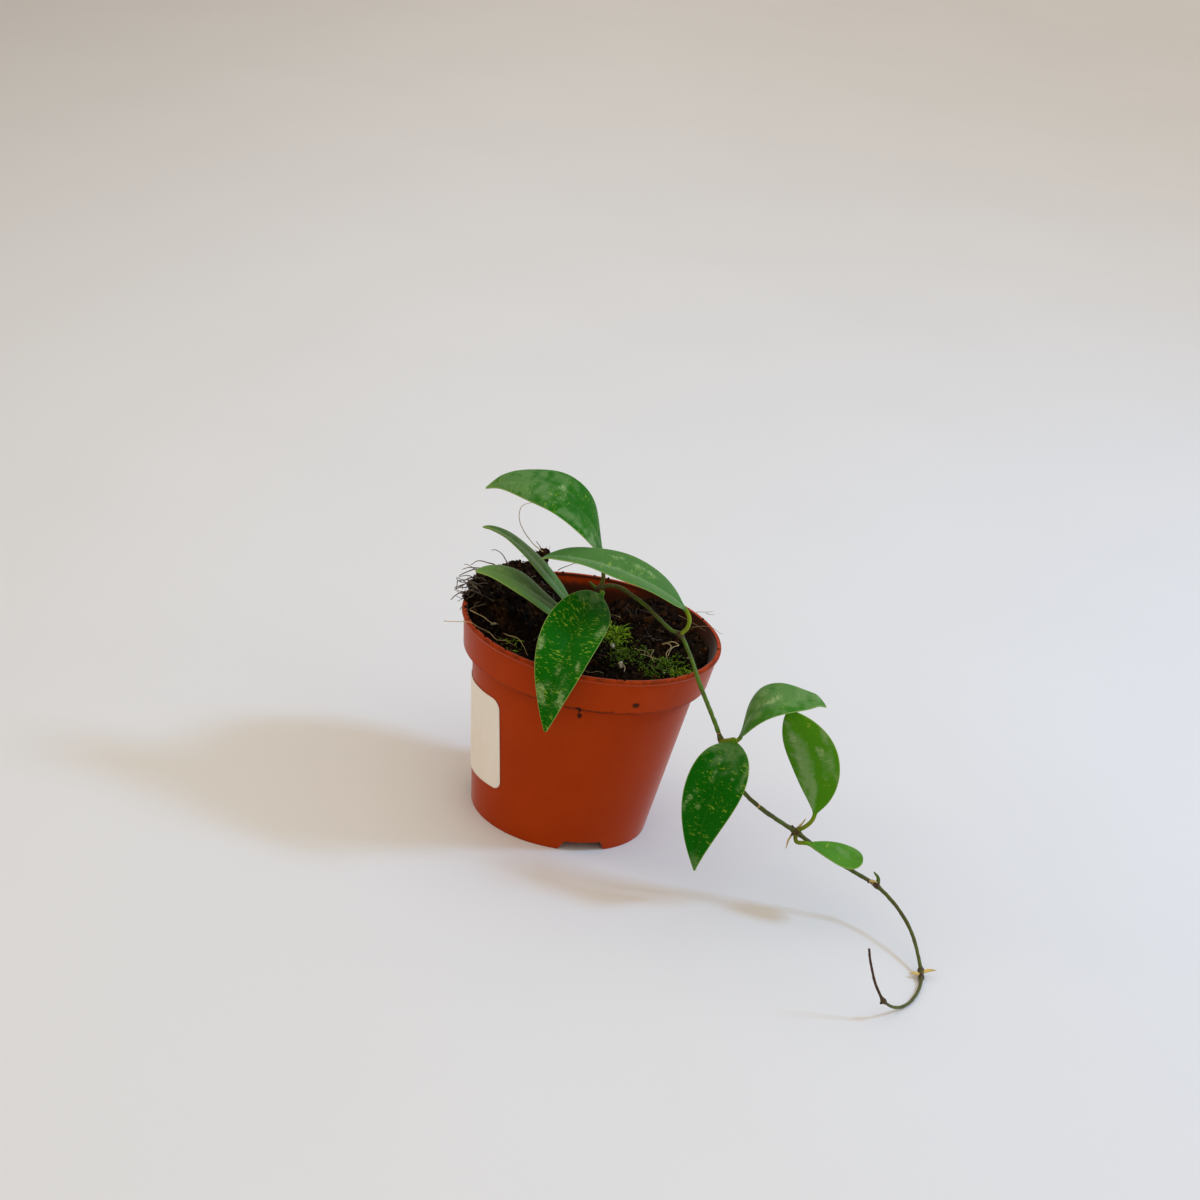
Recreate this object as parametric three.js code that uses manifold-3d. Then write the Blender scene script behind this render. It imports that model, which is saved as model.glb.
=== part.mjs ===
// A young trailing climber with waxy leaves, rooted in a thin plastic nursery pot.
// Millimetres, +Z up. The origin is the middle of the bounding box, on the surface
// that the pot stands on. The front, where the long shoot leans out, is -Y and +X.
import * as THREE from "three";
import { mergeVertices } from "three/addons/utils/BufferGeometryUtils.js";
import Module from "manifold-3d";

const wasm = await Module();
wasm.setup();

// Gap kept between two pieces that touch on the real plant
const CLEAR = 0.3;

// Pot: a tapered cup with a deep collar, a rolled lip and a raised floor on a foot ring
const POT = {
  height: 83.1,
  wall: 1.3,
  footRadius: 36.2,
  shoulderRadius: 46, // of the tapered body, just under the collar
  shoulderHeight: 68,
  collarRadius: 49.7, // at the collar's lower edge
  lipRadius: 52.5,
  lipWidth: 2.1,
  lipDepth: 1.9,
  // the rolled lip, from its lower outer edge over the top to the inside: share of the width
  // inwards, share of the depth downwards
  lipRoll: [[0, 0.65], [0.07, 0.2], [0.3, 0], [0.8, 0.05], [1, 0.3]],
  lipOverhang: 0.9, // of the lip beyond the collar's upper edge
  footThinning: 0.2, // of the foot ring's wall
  collarBevel: [0.5, 0.7], // of the collar's lower edge: width, height
  innerStepDrop: 0.8, // of the inside step below the outside one
  floorHeight: 3,
  segments: 48,
};
const NOTCH = { count: 3, firstDegrees: -70, topWidth: 15.5, footWidth: 19.5, height: 3.9, reach: 8, below: 1 };
const DRAIN_HOLE = { count: 6, radius: 3.5, ringRadius: 25, sides: 12 };

// Label: a bare rectangle with round corners, stuck on a little askew
const LABEL = {
  width: 50,
  height: 39.5,
  cornerRadius: 4,
  thickness: 0.5,
  rightEdgeDegrees: -130,
  middleHeight: 35.5,
  tiltDegrees: 5,
  columns: 14,
};

// Soil: peat heaped against the back left of the pot and low at the back
const SOIL = {
  level: 76.5,
  rings: 16,
  segments: 72,
  crumbHeight: 1.3,
  edgeInset: 0.2, // of the surface from the pot's inner face
  heaps: [
    { at: [-33, 24], spread: 13, rise: 12.5 },
    { at: [-44, 2], spread: 11, rise: 4.5 },
    { at: [24, 35], spread: 11, rise: 5.5 },
    { at: [44, 4], spread: 12, rise: 2 },
    { at: [16, -22], spread: 12, rise: 2.5 },
    { at: [-4, 46], spread: 9, rise: -5 },
  ],
};
// Clods that make the crest of the heap and hang over the lip: middle, radius
const CLODS = [
  [[-47.5, 3, 81], 6.5],
  [[-45, 13, 83], 8],
  [[-39, 23, 84.5], 8.5],
  [[-31, 32, 84.5], 8.5],
  [[-23, 38.5, 84], 7.5],
  [[-22.5, 39, 91], 3.8],
  [[-15, 44, 80.5], 5.5],
  [[-32, 16, 84], 7.5],
];
const CLOD = { flatness: 0.75, roughness: 0.3, bulgesAcross: 1.6, bulgesUp: 1.3 };
// Rootlets that stick out of the heap over the lip
const ROOTLETS = [
  [[-46, 10, 86], [-53, 6, 87], [-57, 4, 84.5]],
  [[-46, 14, 88], [-52, 14, 90], [-56.5, 12, 88]],
  [[-44, 4, 84], [-52, -2, 85.5], [-56, -6, 84]],
  [[-45, 18, 89], [-50, 20, 92], [-54, 19, 93]],
  [[-40, 28, 90], [-44, 33, 93], [-47, 34, 92]],
  [[-25, 38, 91], [-27, 39, 96], [-29, 40, 98]],
];
const ROOTLET = { footRadius: 0.8, tipRadius: 0.5, steps: 5, sides: 4 };

// Space round the upper wall and lip: its depth below the inside step, and the width and height
// of the cuts at its outer and inner top edges
const ENVELOPE = { skirt: 3, outerCut: [0.6, 0.2], innerCut: [0.5, 1.2] };

// Main shoot: where its middle line runs, and how it thins out
const VINE = {
  route: [
    [1.5, -2, 64],
    [1.4, -4, 76],
    [1, -9, 92],
    [0.3, -12, 103],
    [2.4, -12.5, 105.3],
    [7.4, -14.2, 106.5],
    [14.2, -17.4, 104.9],
    [19.3, -19.6, 103],
    [24.8, -22, 99.9],
    [30.2, -23.4, 96.8],
    [34.3, -24.4, 95.7],
    [39.4, -28.8, 90],
    [42.2, -32.2, 86],
    [44.6, -34.4, 82.2],
    [48.6, -36.7, 76],
    [53.1, -39.5, 69.6],
    [57.2, -42, 62.9],
    [62.5, -44, 53.5],
    [68.5, -45, 45.5],
    [77, -45.2, 39.3],
    [86, -45.2, 34.8],
    [93.2, -45.3, 31.6],
    [103.5, -46, 26.2],
    [113, -46.5, 22],
    [121, -47.5, 19.3],
    [128.5, -48, 16.3],
    [134, -52, 14],
    [138.2, -57, 12],
    [142, -63.5, 9.6],
    [144.6, -70, 7],
    [146.4, -77, 4.2],
    [147.5, -84, 2],
    [147.2, -90, 1.15],
    [146, -96, 1],
    [144.2, -101.4, 1],
    [142, -106.2, 1],
    [139.2, -110, 1.15],
    [136.1, -114, 2.6],
    [132.8, -118, 5.4],
    [130.1, -120.4, 8.3],
    [127.9, -121, 11.5],
    [125.5, -121.1, 15.5],
    [123.4, -121.1, 20.3],
    [121.6, -121.4, 25],
    [120.4, -121.9, 29],
  ],
  // share of the length, radius
  radii: [[0, 1.2], [0.14, 1], [0.3, 1.05], [0.55, 0.9], [0.8, 0.72], [0.93, 0.6], [1, 0.5]],
  steps: 90,
  sides: 6,
};
// Swollen joints of the main shoot: middle, radius
const JOINTS = [
  [[0.2, -12, 103.4], 1.7],
  [[34.3, -24.4, 95.8], 1.5],
  [[57.1, -42, 63], 1.5],
  [[93.2, -45.3, 31.6], 1.7],
  [[128.3, -47.9, 16.4], 1.3],
  [[147.3, -82.8, 2.3], 1.5],
  [[147.6, -86.5, 1.6], 1.35],
  [[130.4, -120.2, 8], 1.3],
];
// Stubs of shed leaves, bud scales and aerial roots: places from foot to tip, radius at the foot
const STUBS = [
  [[[0.2, -12, 103.2], [-4.4, -11.5, 105.6]], 0.8],
  [[[93, -44.8, 32.4], [94.7, -43.8, 34.6], [96, -43, 37.1]], 0.5],
  [[[92.4, -45.2, 32.2], [91, -45.1, 34.2]], 0.65],
  [[[92, -46, 31.4], [90.7, -48, 28.9], [90.3, -49, 25.2]], 0.5],
  [[[124.6, -47.9, 17.4], [126.4, -48.3, 18.3], [128.4, -48.4, 18]], 0.65],
  [[[128.6, -47.4, 16.8], [128.4, -46.8, 19.2], [126.2, -46, 21.2]], 0.8],
  [[[130.4, -120.2, 8], [129, -121.2, 7], [128.4, -121.6, 6]], 0.75],
];
const STUB = { tipRadius: 0.35, steps: 4, sides: 5 };
// Two young yellow leaflets at the sixth joint: foot, tip, half width
const LEAFLETS = [
  [[147.6, -84, 2.4], [153, -84, 4.4], 0.95],
  [[147.2, -85.5, 2], [142.8, -85, 1.4], 0.8],
];
// Cross-sections of a leaflet: share of the length, share of the half width
const LEAFLET = { thickness: 0.8, sections: [[0, 0.45], [0.35, 0.91], [0.7, 0.93], [1, 0.35]] };

// Short shoot: it carries the two leaves that lean to the left
const SHORT_SHOOT = {
  route: [[-4.5, 2, 66], [-4.8, 1.5, 77], [-4.2, -3, 84], [-3.6, -5, 87.5], [-3.6, -5.6, 90]],
  radii: [[0, 1.1], [0.8, 1], [1, 0.5]],
  steps: 8,
  sides: 7,
};

// Leaves: midrib = four control points of a cubic curve from the foot of the blade to its tip;
// faces = where the upper face looks; twist = degrees from foot to tip; foot and tip = powers of
// the outline at its two ends (small is blunt, large is drawn out); cup = degrees that each half
// rises from the midrib; droop = fall of the tip; petiole = its course from the joint to the blade
const LEAVES = {
  leaf_joint1_high: {
    midrib: [[-2, -3.5, 116], [-6.5, -6.5, 132], [-26, -6.5, 146.5], [-52.7, -3.5, 133.5]],
    faces: [0.55, -0.25, 0.8], twist: -23, halfWidth: 14.8, foot: 0.75, tip: 1.1, cup: 1, droop: 2.2,
    petiole: [[0.2, -12, 103.8], [0.9, -10.6, 107], [0.3, -8, 109.8]],
  },
  leaf_joint1_hanging: {
    midrib: [[1.8, -15.4, 103], [-6.6, -34.5, 96.5], [-9.5, -58.5, 94], [-10, -61, 61]],
    faces: [-0.1, -0.75, 0.65], twist: 37, halfWidth: 12.5, foot: 0.75, tip: 0.9, cup: 22,
    petiole: [[0.2, -12, 103.2], [1.3, -13.7, 103.1]],
  },
  leaf_joint2_arched: {
    midrib: [[34.5, -24.5, 106.5], [19.5, -28, 119.5], [-13.5, -27, 124], [-24.8, -21.5, 115]],
    faces: [0.05, -0.05, 1], twist: -5, halfWidth: 12.5, foot: 0.6, tip: 1.1, cup: 9,
    petiole: [[34.3, -24.4, 95.8], [36.5, -25, 99.6], [36.5, -25, 103.5]],
  },
  leaf_joint3_high: {
    midrib: [[64.5, -40, 64.5], [67, -43, 87], [76, -39, 83.5], [96, -36, 85]],
    faces: [-0.4, -0.15, 0.9], twist: 20, halfWidth: 12.8, foot: 0.62, tip: 0.95, cup: 1, droop: 3.2,
    petiole: [[57.2, -41.6, 63], [61.2, -41, 61.8]],
  },
  leaf_joint3_hanging: {
    midrib: [[62, -46.8, 66.3], [60.5, -57.5, 54.5], [54, -58, 41], [56.5, -61, 14.5]],
    faces: [-0.3, -0.9, 0.25], twist: 11, halfWidth: 12.25, foot: 0.65, tip: 1, cup: 22,
    petiole: [[57.2, -42.4, 62.6], [59.8, -44.6, 64.6]],
  },
  leaf_joint4_upright: {
    midrib: [[98.6, -46, 40.2], [98.5, -46.5, 60], [91, -46, 68.5], [80, -44.5, 81.5]],
    faces: [-0.4, -0.9, -0.2], twist: 0, halfWidth: 11.25, foot: 0.9, tip: 0.7, cup: -3,
    petiole: [[93.2, -45.3, 32], [96.1, -46, 35], [97.9, -46, 37.6]],
  },
  leaf_joint4_small: {
    midrib: [[97.5, -50, 30], [106, -51.5, 30], [114, -50, 25.5], [120.5, -51, 27.5]],
    faces: [0.1, -0.3, 0.95], twist: -6, halfWidth: 6.5, foot: 0.95, tip: 0.45, cup: 6,
    petiole: [[93, -45.8, 31.2], [93.8, -48, 28.9]],
  },
  leaf_short_shoot_high: {
    midrib: [[-8.5, -5.5, 90.5], [-18.5, -8, 101], [-36, -6, 118.5], [-49.5, -8.5, 119]],
    faces: [0.25, 0.1, 0.95], twist: 10, halfWidth: 11.5, foot: 0.7, tip: 1, cup: 3,
    petiole: [[-3.8, -4.6, 87.6], [-6, -4.8, 88.4]],
  },
  leaf_short_shoot_low: {
    midrib: [[-9, -6.5, 87], [-22, -10.5, 92.5], [-33, -14, 105.5], [-49, -18.5, 104]],
    faces: [0.15, -0.05, 1], twist: -1, halfWidth: 12, foot: 0.75, tip: 0.95, cup: 1,
    petiole: [[-3.9, -4.8, 85], [-6.4, -6, 85.4]],
  },
};
const BLADE = {
  lengthSteps: 12,
  widthSteps: 6,
  ribThickness: 1,
  edgeThickness: 0.65,
  footHalfWidth: 1.1,
  tipHalfWidth: 0.4,
  footWedge: 0.035, // share of the length over which the foot stays narrow
  droopShare: 0.1, // the last part of the length, which curls over
  droopPower: 1.4,
};
const PETIOLE = {
  radii: [[0, 1.05], [0.6, 0.95], [1, 0.55]],
  steps: 6,
  sides: 6,
  reachIntoBlade: 3,
};

const MATERIALS = {
  terracotta: new THREE.MeshStandardMaterial({ color: "#963f1f", roughness: 0.55 }),
  paper: new THREE.MeshStandardMaterial({ color: "#dcd2c2", roughness: 0.7 }),
  peat: new THREE.MeshStandardMaterial({ color: "#1d140b", roughness: 0.95 }),
  stem: new THREE.MeshStandardMaterial({ color: "#4a5a1c", roughness: 0.6 }),
  leaf: new THREE.MeshStandardMaterial({ color: "#2c6016", roughness: 0.4 }),
};

const vector = (place) => new THREE.Vector3(...place);
const degrees = THREE.MathUtils.degToRad;
const mix = THREE.MathUtils.lerp;
const onCircle = (radius, angle, z) =>
  new THREE.Vector3(radius * Math.cos(angle), radius * Math.sin(angle), z);

function geometryFrom(points, triangles) {
  const geometry = new THREE.BufferGeometry().setFromPoints(points);
  geometry.setIndex(triangles.flat());
  return geometry;
}

function solidFrom(geometry) {
  const bare = geometry.clone();
  bare.deleteAttribute("normal");
  bare.deleteAttribute("uv");
  const merged = mergeVertices(bare, 1e-4);
  return new wasm.Manifold(
    new wasm.Mesh({
      numProp: 3,
      vertProperties: merged.attributes.position.array,
      triVerts: new Uint32Array(merged.index.array),
    }),
  );
}

function meshFrom(name, solid, material) {
  const data = solid.getMesh();
  const geometry = new THREE.BufferGeometry();
  geometry.setAttribute("position", new THREE.BufferAttribute(data.vertProperties, 3));
  geometry.setIndex(new THREE.BufferAttribute(data.triVerts, 1));
  const flat = geometry.toNonIndexed();
  flat.computeVertexNormals();
  const mesh = new THREE.Mesh(flat, material);
  mesh.name = name;
  return mesh;
}

const joined = (solids) => solids.reduce((sum, solid) => sum.add(solid));

// Joins rings of the same number of points into one closed body, with a fan on each end.
// The rings run anticlockwise as seen from the last ring.
function loft(rings) {
  const count = rings[0].length;
  const points = rings.flat();
  const triangles = [];
  for (let i = 0; i + 1 < rings.length; i++) {
    for (let j = 0; j < count; j++) {
      const a = i * count + j;
      const b = i * count + ((j + 1) % count);
      triangles.push([a, b, b + count], [a, b + count, a + count]);
    }
  }
  const middle = (ring) =>
    ring.reduce((sum, p) => sum.add(p), new THREE.Vector3()).divideScalar(count);
  const first = points.push(middle(rings[0])) - 1;
  const last = points.push(middle(rings.at(-1))) - 1;
  const lastRing = (rings.length - 1) * count;
  for (let j = 0; j < count; j++) {
    const next = (j + 1) % count;
    triangles.push([first, next, j], [last, lastRing + j, lastRing + next]);
  }
  return solidFrom(geometryFrom(points, triangles));
}

// Reads a list of [share, value] pairs at one share, straight between the pairs
function alongList(pairs, share) {
  const next = Math.max(1, pairs.findIndex(([at]) => at >= share));
  const [[from, low], [to, high]] = [pairs[next - 1], pairs[next]];
  return mix(low, high, THREE.MathUtils.clamp((share - from) / (to - from), 0, 1));
}

// A round tube of changing radius along a smooth line through the given places. Extra makes
// it wider and longer all round, for the space that a neighbour leaves it
function taperedTube(places, radii, steps, sides, extra = 0) {
  const curve = new THREE.CatmullRomCurve3(places.map(vector), false, "centripetal");
  const frames = curve.computeFrenetFrames(steps, false);
  const rings = [];
  for (let i = 0; i <= steps; i++) {
    const reach = i === 0 ? -extra : i === steps ? extra : 0;
    const centre = curve.getPointAt(i / steps).addScaledVector(frames.tangents[i], reach);
    const radius = alongList(radii, i / steps) + extra;
    const ring = [];
    for (let j = 0; j < sides; j++) {
      const angle = (2 * Math.PI * j) / sides;
      ring.push(
        centre
          .clone()
          .addScaledVector(frames.normals[i], radius * Math.cos(angle))
          .addScaledVector(frames.binormals[i], radius * Math.sin(angle)),
      );
    }
    rings.push(ring);
  }
  return loft(rings);
}

function ball(place, radius) {
  const geometry = new THREE.IcosahedronGeometry(radius, 1);
  return solidFrom(geometry.translate(...place));
}

// Radius of the pot's outside at a height on its tapered body
const bodyRadius = (z) => mix(POT.footRadius, POT.shoulderRadius, z / POT.shoulderHeight);

// The pot's inner face, from the floor's edge up to the lip, as points for a lathe
function innerProfile(inset = 0) {
  const floorTop = POT.floorHeight + POT.wall;
  const collarTop = POT.height - POT.lipDepth;
  return [
    new THREE.Vector2(bodyRadius(floorTop) - POT.wall - inset, floorTop + inset),
    new THREE.Vector2(bodyRadius(POT.shoulderHeight) - POT.wall - inset, POT.shoulderHeight - POT.innerStepDrop),
    new THREE.Vector2(POT.collarRadius - POT.wall - inset, POT.shoulderHeight + POT.wall),
    new THREE.Vector2(POT.lipRadius - POT.lipWidth - inset, collarTop),
  ];
}

function pot() {
  const { height, lipRadius, lipWidth, lipDepth, shoulderHeight } = POT;
  const footInside = POT.footRadius - POT.wall - POT.footThinning;
  const [bevelWidth, bevelHeight] = POT.collarBevel;
  const lip = POT.lipRoll.map(
    ([inwards, down]) => new THREE.Vector2(lipRadius - inwards * lipWidth, height - down * lipDepth),
  );
  const profile = [
    new THREE.Vector2(0, POT.floorHeight),
    new THREE.Vector2(footInside, POT.floorHeight),
    new THREE.Vector2(footInside, 0),
    new THREE.Vector2(POT.footRadius, 0),
    new THREE.Vector2(POT.shoulderRadius, shoulderHeight - bevelHeight),
    new THREE.Vector2(POT.collarRadius - bevelWidth, shoulderHeight),
    new THREE.Vector2(POT.collarRadius, shoulderHeight + bevelHeight),
    new THREE.Vector2(lipRadius - POT.lipOverhang, height - lipDepth),
    ...lip,
    ...innerProfile().reverse(),
    new THREE.Vector2(0, POT.floorHeight + POT.wall),
  ];
  const cup = new THREE.LatheGeometry(profile, POT.segments).rotateX(Math.PI / 2);
  let solid = solidFrom(cup);
  for (let i = 0; i < NOTCH.count; i++) {
    const turn = degrees(NOTCH.firstDegrees + (360 * i) / NOTCH.count);
    solid = solid.subtract(footNotch(turn));
  }
  for (let i = 0; i < DRAIN_HOLE.count; i++) {
    const angle = (2 * Math.PI * i) / DRAIN_HOLE.count;
    const { radius, ringRadius, sides } = DRAIN_HOLE;
    const hole = new THREE.CylinderGeometry(radius, radius, 4 * POT.wall, sides).rotateX(Math.PI / 2);
    hole.translate(...onCircle(ringRadius, angle, POT.floorHeight + POT.wall / 2));
    solid = solid.subtract(solidFrom(hole));
  }
  return meshFrom("pot", solid, MATERIALS.terracotta);
}

// A trapezoid bar that reaches in from outside the foot ring, narrow side up
function footNotch(turn) {
  const shape = new THREE.Shape([
    new THREE.Vector2(-NOTCH.footWidth / 2, -NOTCH.below),
    new THREE.Vector2(NOTCH.footWidth / 2, -NOTCH.below),
    new THREE.Vector2(NOTCH.topWidth / 2, NOTCH.height),
    new THREE.Vector2(-NOTCH.topWidth / 2, NOTCH.height),
  ]);
  const bar = new THREE.ExtrudeGeometry(shape, { depth: NOTCH.reach, bevelEnabled: false });
  bar.rotateX(Math.PI / 2).rotateZ(Math.PI / 2);
  bar.translate(POT.footRadius - NOTCH.reach / 2, 0, 0);
  return solidFrom(bar.rotateZ(turn));
}

function label() {
  const { width, height, cornerRadius, thickness, columns } = LABEL;
  const middleRadius = bodyRadius(LABEL.middleHeight);
  const tilt = degrees(LABEL.tiltDegrees);
  const middleAngle = degrees(LABEL.rightEdgeDegrees) - width / 2 / middleRadius;
  // A flat place on the label, laid round the pot's body and turned by the tilt
  const wrapped = (across, up, out) => {
    const z = LABEL.middleHeight + up * Math.cos(tilt) + across * Math.sin(tilt);
    const along = across * Math.cos(tilt) - up * Math.sin(tilt);
    return onCircle(bodyRadius(z) + CLEAR + out, middleAngle + along / middleRadius, z);
  };
  const halfHeightAt = (across) => {
    const past = Math.max(0, Math.abs(across) - (width / 2 - cornerRadius));
    return height / 2 - cornerRadius + Math.sqrt(Math.max(0, cornerRadius ** 2 - past ** 2));
  };
  const rings = [];
  for (let i = 0; i <= columns; i++) {
    const across = (-width / 2) * Math.cos((Math.PI * i) / columns);
    const half = halfHeightAt(across);
    rings.push([
      wrapped(across, -half, 0),
      wrapped(across, half, 0),
      wrapped(across, half, thickness),
      wrapped(across, -half, thickness),
    ]);
  }
  return meshFrom("label", loft(rings), MATERIALS.paper);
}

// Even, repeatable noise from -1 to 1: waves of two lengths that cross at odd angles
function crumb(x, y) {
  const coarse = Math.sin(0.43 * x + 0.9) * Math.cos(0.37 * y - 0.4);
  const fine = Math.sin(0.82 * x + 0.6 * y + 2) * Math.cos(0.5 * x - 0.9 * y);
  return 0.55 * coarse + 0.45 * fine;
}

function soilHeight(x, y) {
  const heaps = SOIL.heaps.map(
    ({ at, spread, rise }) =>
      rise * Math.exp(-((x - at[0]) ** 2 + (y - at[1]) ** 2) / (2 * spread ** 2)),
  );
  return SOIL.level + heaps.reduce((sum, rise) => sum + rise) + SOIL.crumbHeight * crumb(x, y);
}

function soil(stems) {
  const wall = innerProfile(CLEAR);
  const topRadius = wall[2].x - SOIL.edgeInset;
  const circle = (radius, heightAt) =>
    Array.from({ length: SOIL.segments }, (_, j) => {
      const angle = (2 * Math.PI * j) / SOIL.segments;
      const place = onCircle(radius, angle, 0);
      return place.setZ(heightAt(place.x, place.y));
    });
  const rings = wall.slice(0, 3).map(({ x, y }) => circle(Math.min(x, topRadius), () => y));
  for (let i = 0; i < SOIL.rings; i++)
    rings.push(circle(topRadius * (1 - i / SOIL.rings), soilHeight));
  const lumps = CLODS.map(clod);
  const roots = ROOTLETS.map((places) =>
    taperedTube(places, [[0, ROOTLET.footRadius], [1, ROOTLET.tipRadius]], ROOTLET.steps, ROOTLET.sides),
  );
  const solid = joined([loft(rings), ...lumps, ...roots])
    .subtract(potEnvelope())
    .subtract(joined(stems));
  return meshFrom("soil", largest(solid), MATERIALS.peat);
}

// A flattened ball with a lumpy surface
function clod([place, radius]) {
  const geometry = new THREE.IcosahedronGeometry(radius, 2);
  const position = geometry.attributes.position;
  const p = new THREE.Vector3();
  for (let i = 0; i < position.count; i++) {
    p.fromBufferAttribute(position, i);
    const across = CLOD.bulgesAcross * p.x + place[0];
    const bulge = crumb(across, CLOD.bulgesAcross * p.y + CLOD.bulgesUp * p.z + place[1]);
    p.multiplyScalar(1 + CLOD.roughness * bulge);
    position.setXYZ(i, p.x, p.y, CLOD.flatness * p.z);
  }
  return solidFrom(geometry.translate(...place));
}

// A thick ring round the pot's upper wall and lip, with its top edges cut off, which the soil
// stays clear of
function potEnvelope() {
  const [, , ledge, top] = innerProfile(CLEAR);
  const { skirt, outerCut, innerCut } = ENVELOPE;
  const outside = POT.lipRadius + CLEAR;
  const over = POT.height + CLEAR;
  const profile = [
    new THREE.Vector2(ledge.x, ledge.y - skirt),
    new THREE.Vector2(outside, ledge.y - skirt),
    new THREE.Vector2(outside, over - outerCut[1]),
    new THREE.Vector2(outside - outerCut[0], over),
    new THREE.Vector2(top.x + innerCut[0], over),
    new THREE.Vector2(top.x, over - innerCut[1]),
    new THREE.Vector2(ledge.x, ledge.y),
    new THREE.Vector2(ledge.x, ledge.y - skirt),
  ];
  return solidFrom(new THREE.LatheGeometry(profile, POT.segments).rotateX(Math.PI / 2));
}

const largest = (solid) =>
  solid.decompose().reduce((most, piece) => (piece.volume() > most.volume() ? piece : most));

function stub([places, radius]) {
  return taperedTube(places, [[0, radius], [1, STUB.tipRadius]], STUB.steps, STUB.sides);
}

// A small lance-shaped leaflet with a lens-shaped section
function leaflet([foot, tip, halfWidth]) {
  const line = vector(tip).sub(vector(foot));
  const side = new THREE.Vector3(0, 0, 1).cross(line).normalize();
  const up = line.clone().cross(side).normalize();
  const rings = LEAFLET.sections.map(([share, width]) => {
    const half = halfWidth * width;
    const centre = vector(foot).addScaledVector(line, share);
    const lift = LEAFLET.thickness / 2;
    return [
      centre.clone().addScaledVector(side, half),
      centre.clone().addScaledVector(up, lift),
      centre.clone().addScaledVector(side, -half),
      centre.clone().addScaledVector(up, -lift),
    ];
  });
  return loft(rings);
}

// The main shoot's bare line with its joints, made larger by extra where others keep clear
function vineCore(extra = 0) {
  const tube = taperedTube(VINE.route, VINE.radii, VINE.steps, VINE.sides, extra);
  return joined([tube, ...JOINTS.map(([place, radius]) => ball(place, radius + extra))]);
}

function shortShootCore(extra = 0) {
  const { route, radii, steps, sides } = SHORT_SHOOT;
  return taperedTube(route, radii, steps, sides, extra);
}

function vine() {
  const solid = joined([vineCore(), ...STUBS.map(stub), ...LEAFLETS.map(leaflet)]);
  return meshFrom("vine_stem", solid, MATERIALS.stem);
}

// Outline of a blade: 0 at both ends, narrow next to the petiole, and 1 where it is widest
function outline(share, foot, tip) {
  const widest = foot / (foot + tip);
  const wedge = 1 - Math.exp(-share / BLADE.footWedge);
  return wedge * (share / widest) ** foot * ((1 - share) / (1 - widest)) ** tip;
}

// The blade's two faces are grids split into triangles alike, closed by a narrow edge
function blade({ midrib, faces, twist, halfWidth, foot, tip, cup, droop = 0 }) {
  const curve = new THREE.CubicBezierCurve3(...midrib.map(vector));
  const { lengthSteps, widthSteps } = BLADE;
  const columns = widthSteps + 1;
  const upper = [];
  const lower = [];
  for (let i = 0; i <= lengthSteps; i++) {
    const share = 0.5 - 0.5 * Math.cos((Math.PI * i) / lengthSteps);
    const inside = THREE.MathUtils.clamp(share, 1e-6, 1 - 1e-6);
    const along = curve.getTangent(share);
    const level = vector(faces);
    const flat = level.addScaledVector(along, -level.dot(along)).normalize();
    const across = along.clone().cross(flat);
    const turn = degrees(twist) * (share - 0.5);
    const up = flat.clone().multiplyScalar(Math.cos(turn)).addScaledVector(across, Math.sin(turn));
    const right = across.clone().multiplyScalar(Math.cos(turn)).addScaledVector(flat, -Math.sin(turn));
    const half = Math.max(
      halfWidth * outline(inside, foot, tip),
      mix(BLADE.footHalfWidth, BLADE.tipHalfWidth, share),
    );
    const curled = Math.max(0, (share - 1 + BLADE.droopShare) / BLADE.droopShare);
    const rib = curve.getPoint(share).addScaledVector(up, -droop * curled ** BLADE.droopPower);
    for (let j = 0; j < columns; j++) {
      const side = (2 * j) / widthSteps - 1;
      const thickness = mix(BLADE.ribThickness, BLADE.edgeThickness, Math.abs(side));
      const place = rib
        .clone()
        .addScaledVector(right, half * side * Math.cos(degrees(cup)))
        .addScaledVector(up, half * Math.abs(side) * Math.sin(degrees(cup)));
      upper.push(place.clone().addScaledVector(up, thickness / 2));
      lower.push(place.clone().addScaledVector(up, -thickness / 2));
    }
  }
  const triangles = [];
  const top = (i, j) => i * columns + j;
  const under = (i, j) => upper.length + i * columns + j;
  for (let i = 0; i < lengthSteps; i++) {
    for (let j = 0; j < widthSteps; j++) {
      triangles.push([top(i, j), top(i, j + 1), top(i + 1, j + 1)]);
      triangles.push([top(i, j), top(i + 1, j + 1), top(i + 1, j)]);
      triangles.push([under(i, j), under(i + 1, j + 1), under(i, j + 1)]);
      triangles.push([under(i, j), under(i + 1, j), under(i + 1, j + 1)]);
    }
  }
  const wall = (a, b, topAt, underAt) =>
    triangles.push([topAt(...b), topAt(...a), underAt(...a)], [topAt(...b), underAt(...a), underAt(...b)]);
  for (let i = 0; i < lengthSteps; i++) {
    wall([i + 1, 0], [i, 0], top, under);
    wall([i, widthSteps], [i + 1, widthSteps], top, under);
  }
  for (let j = 0; j < widthSteps; j++) {
    wall([0, j], [0, j + 1], top, under);
    wall([lengthSteps, j + 1], [lengthSteps, j], top, under);
  }
  return solidFrom(geometryFrom([...upper, ...lower], triangles));
}

// One leaf: its blade, and its petiole cut back to leave the stem clear
function leaf(name, spec, stem) {
  const curve = new THREE.CubicBezierCurve3(...spec.midrib.map(vector));
  const foot = curve.getPoint(0);
  const inBlade = foot.clone().addScaledVector(curve.getTangent(0), PETIOLE.reachIntoBlade);
  const course = [...spec.petiole, foot.toArray(), inBlade.toArray()];
  const { radii, steps, sides } = PETIOLE;
  const petiole = taperedTube(course, radii, steps, sides);
  const solid = blade(spec).add(petiole).subtract(stem);
  return meshFrom(name, largest(solid), MATERIALS.leaf);
}

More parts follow.
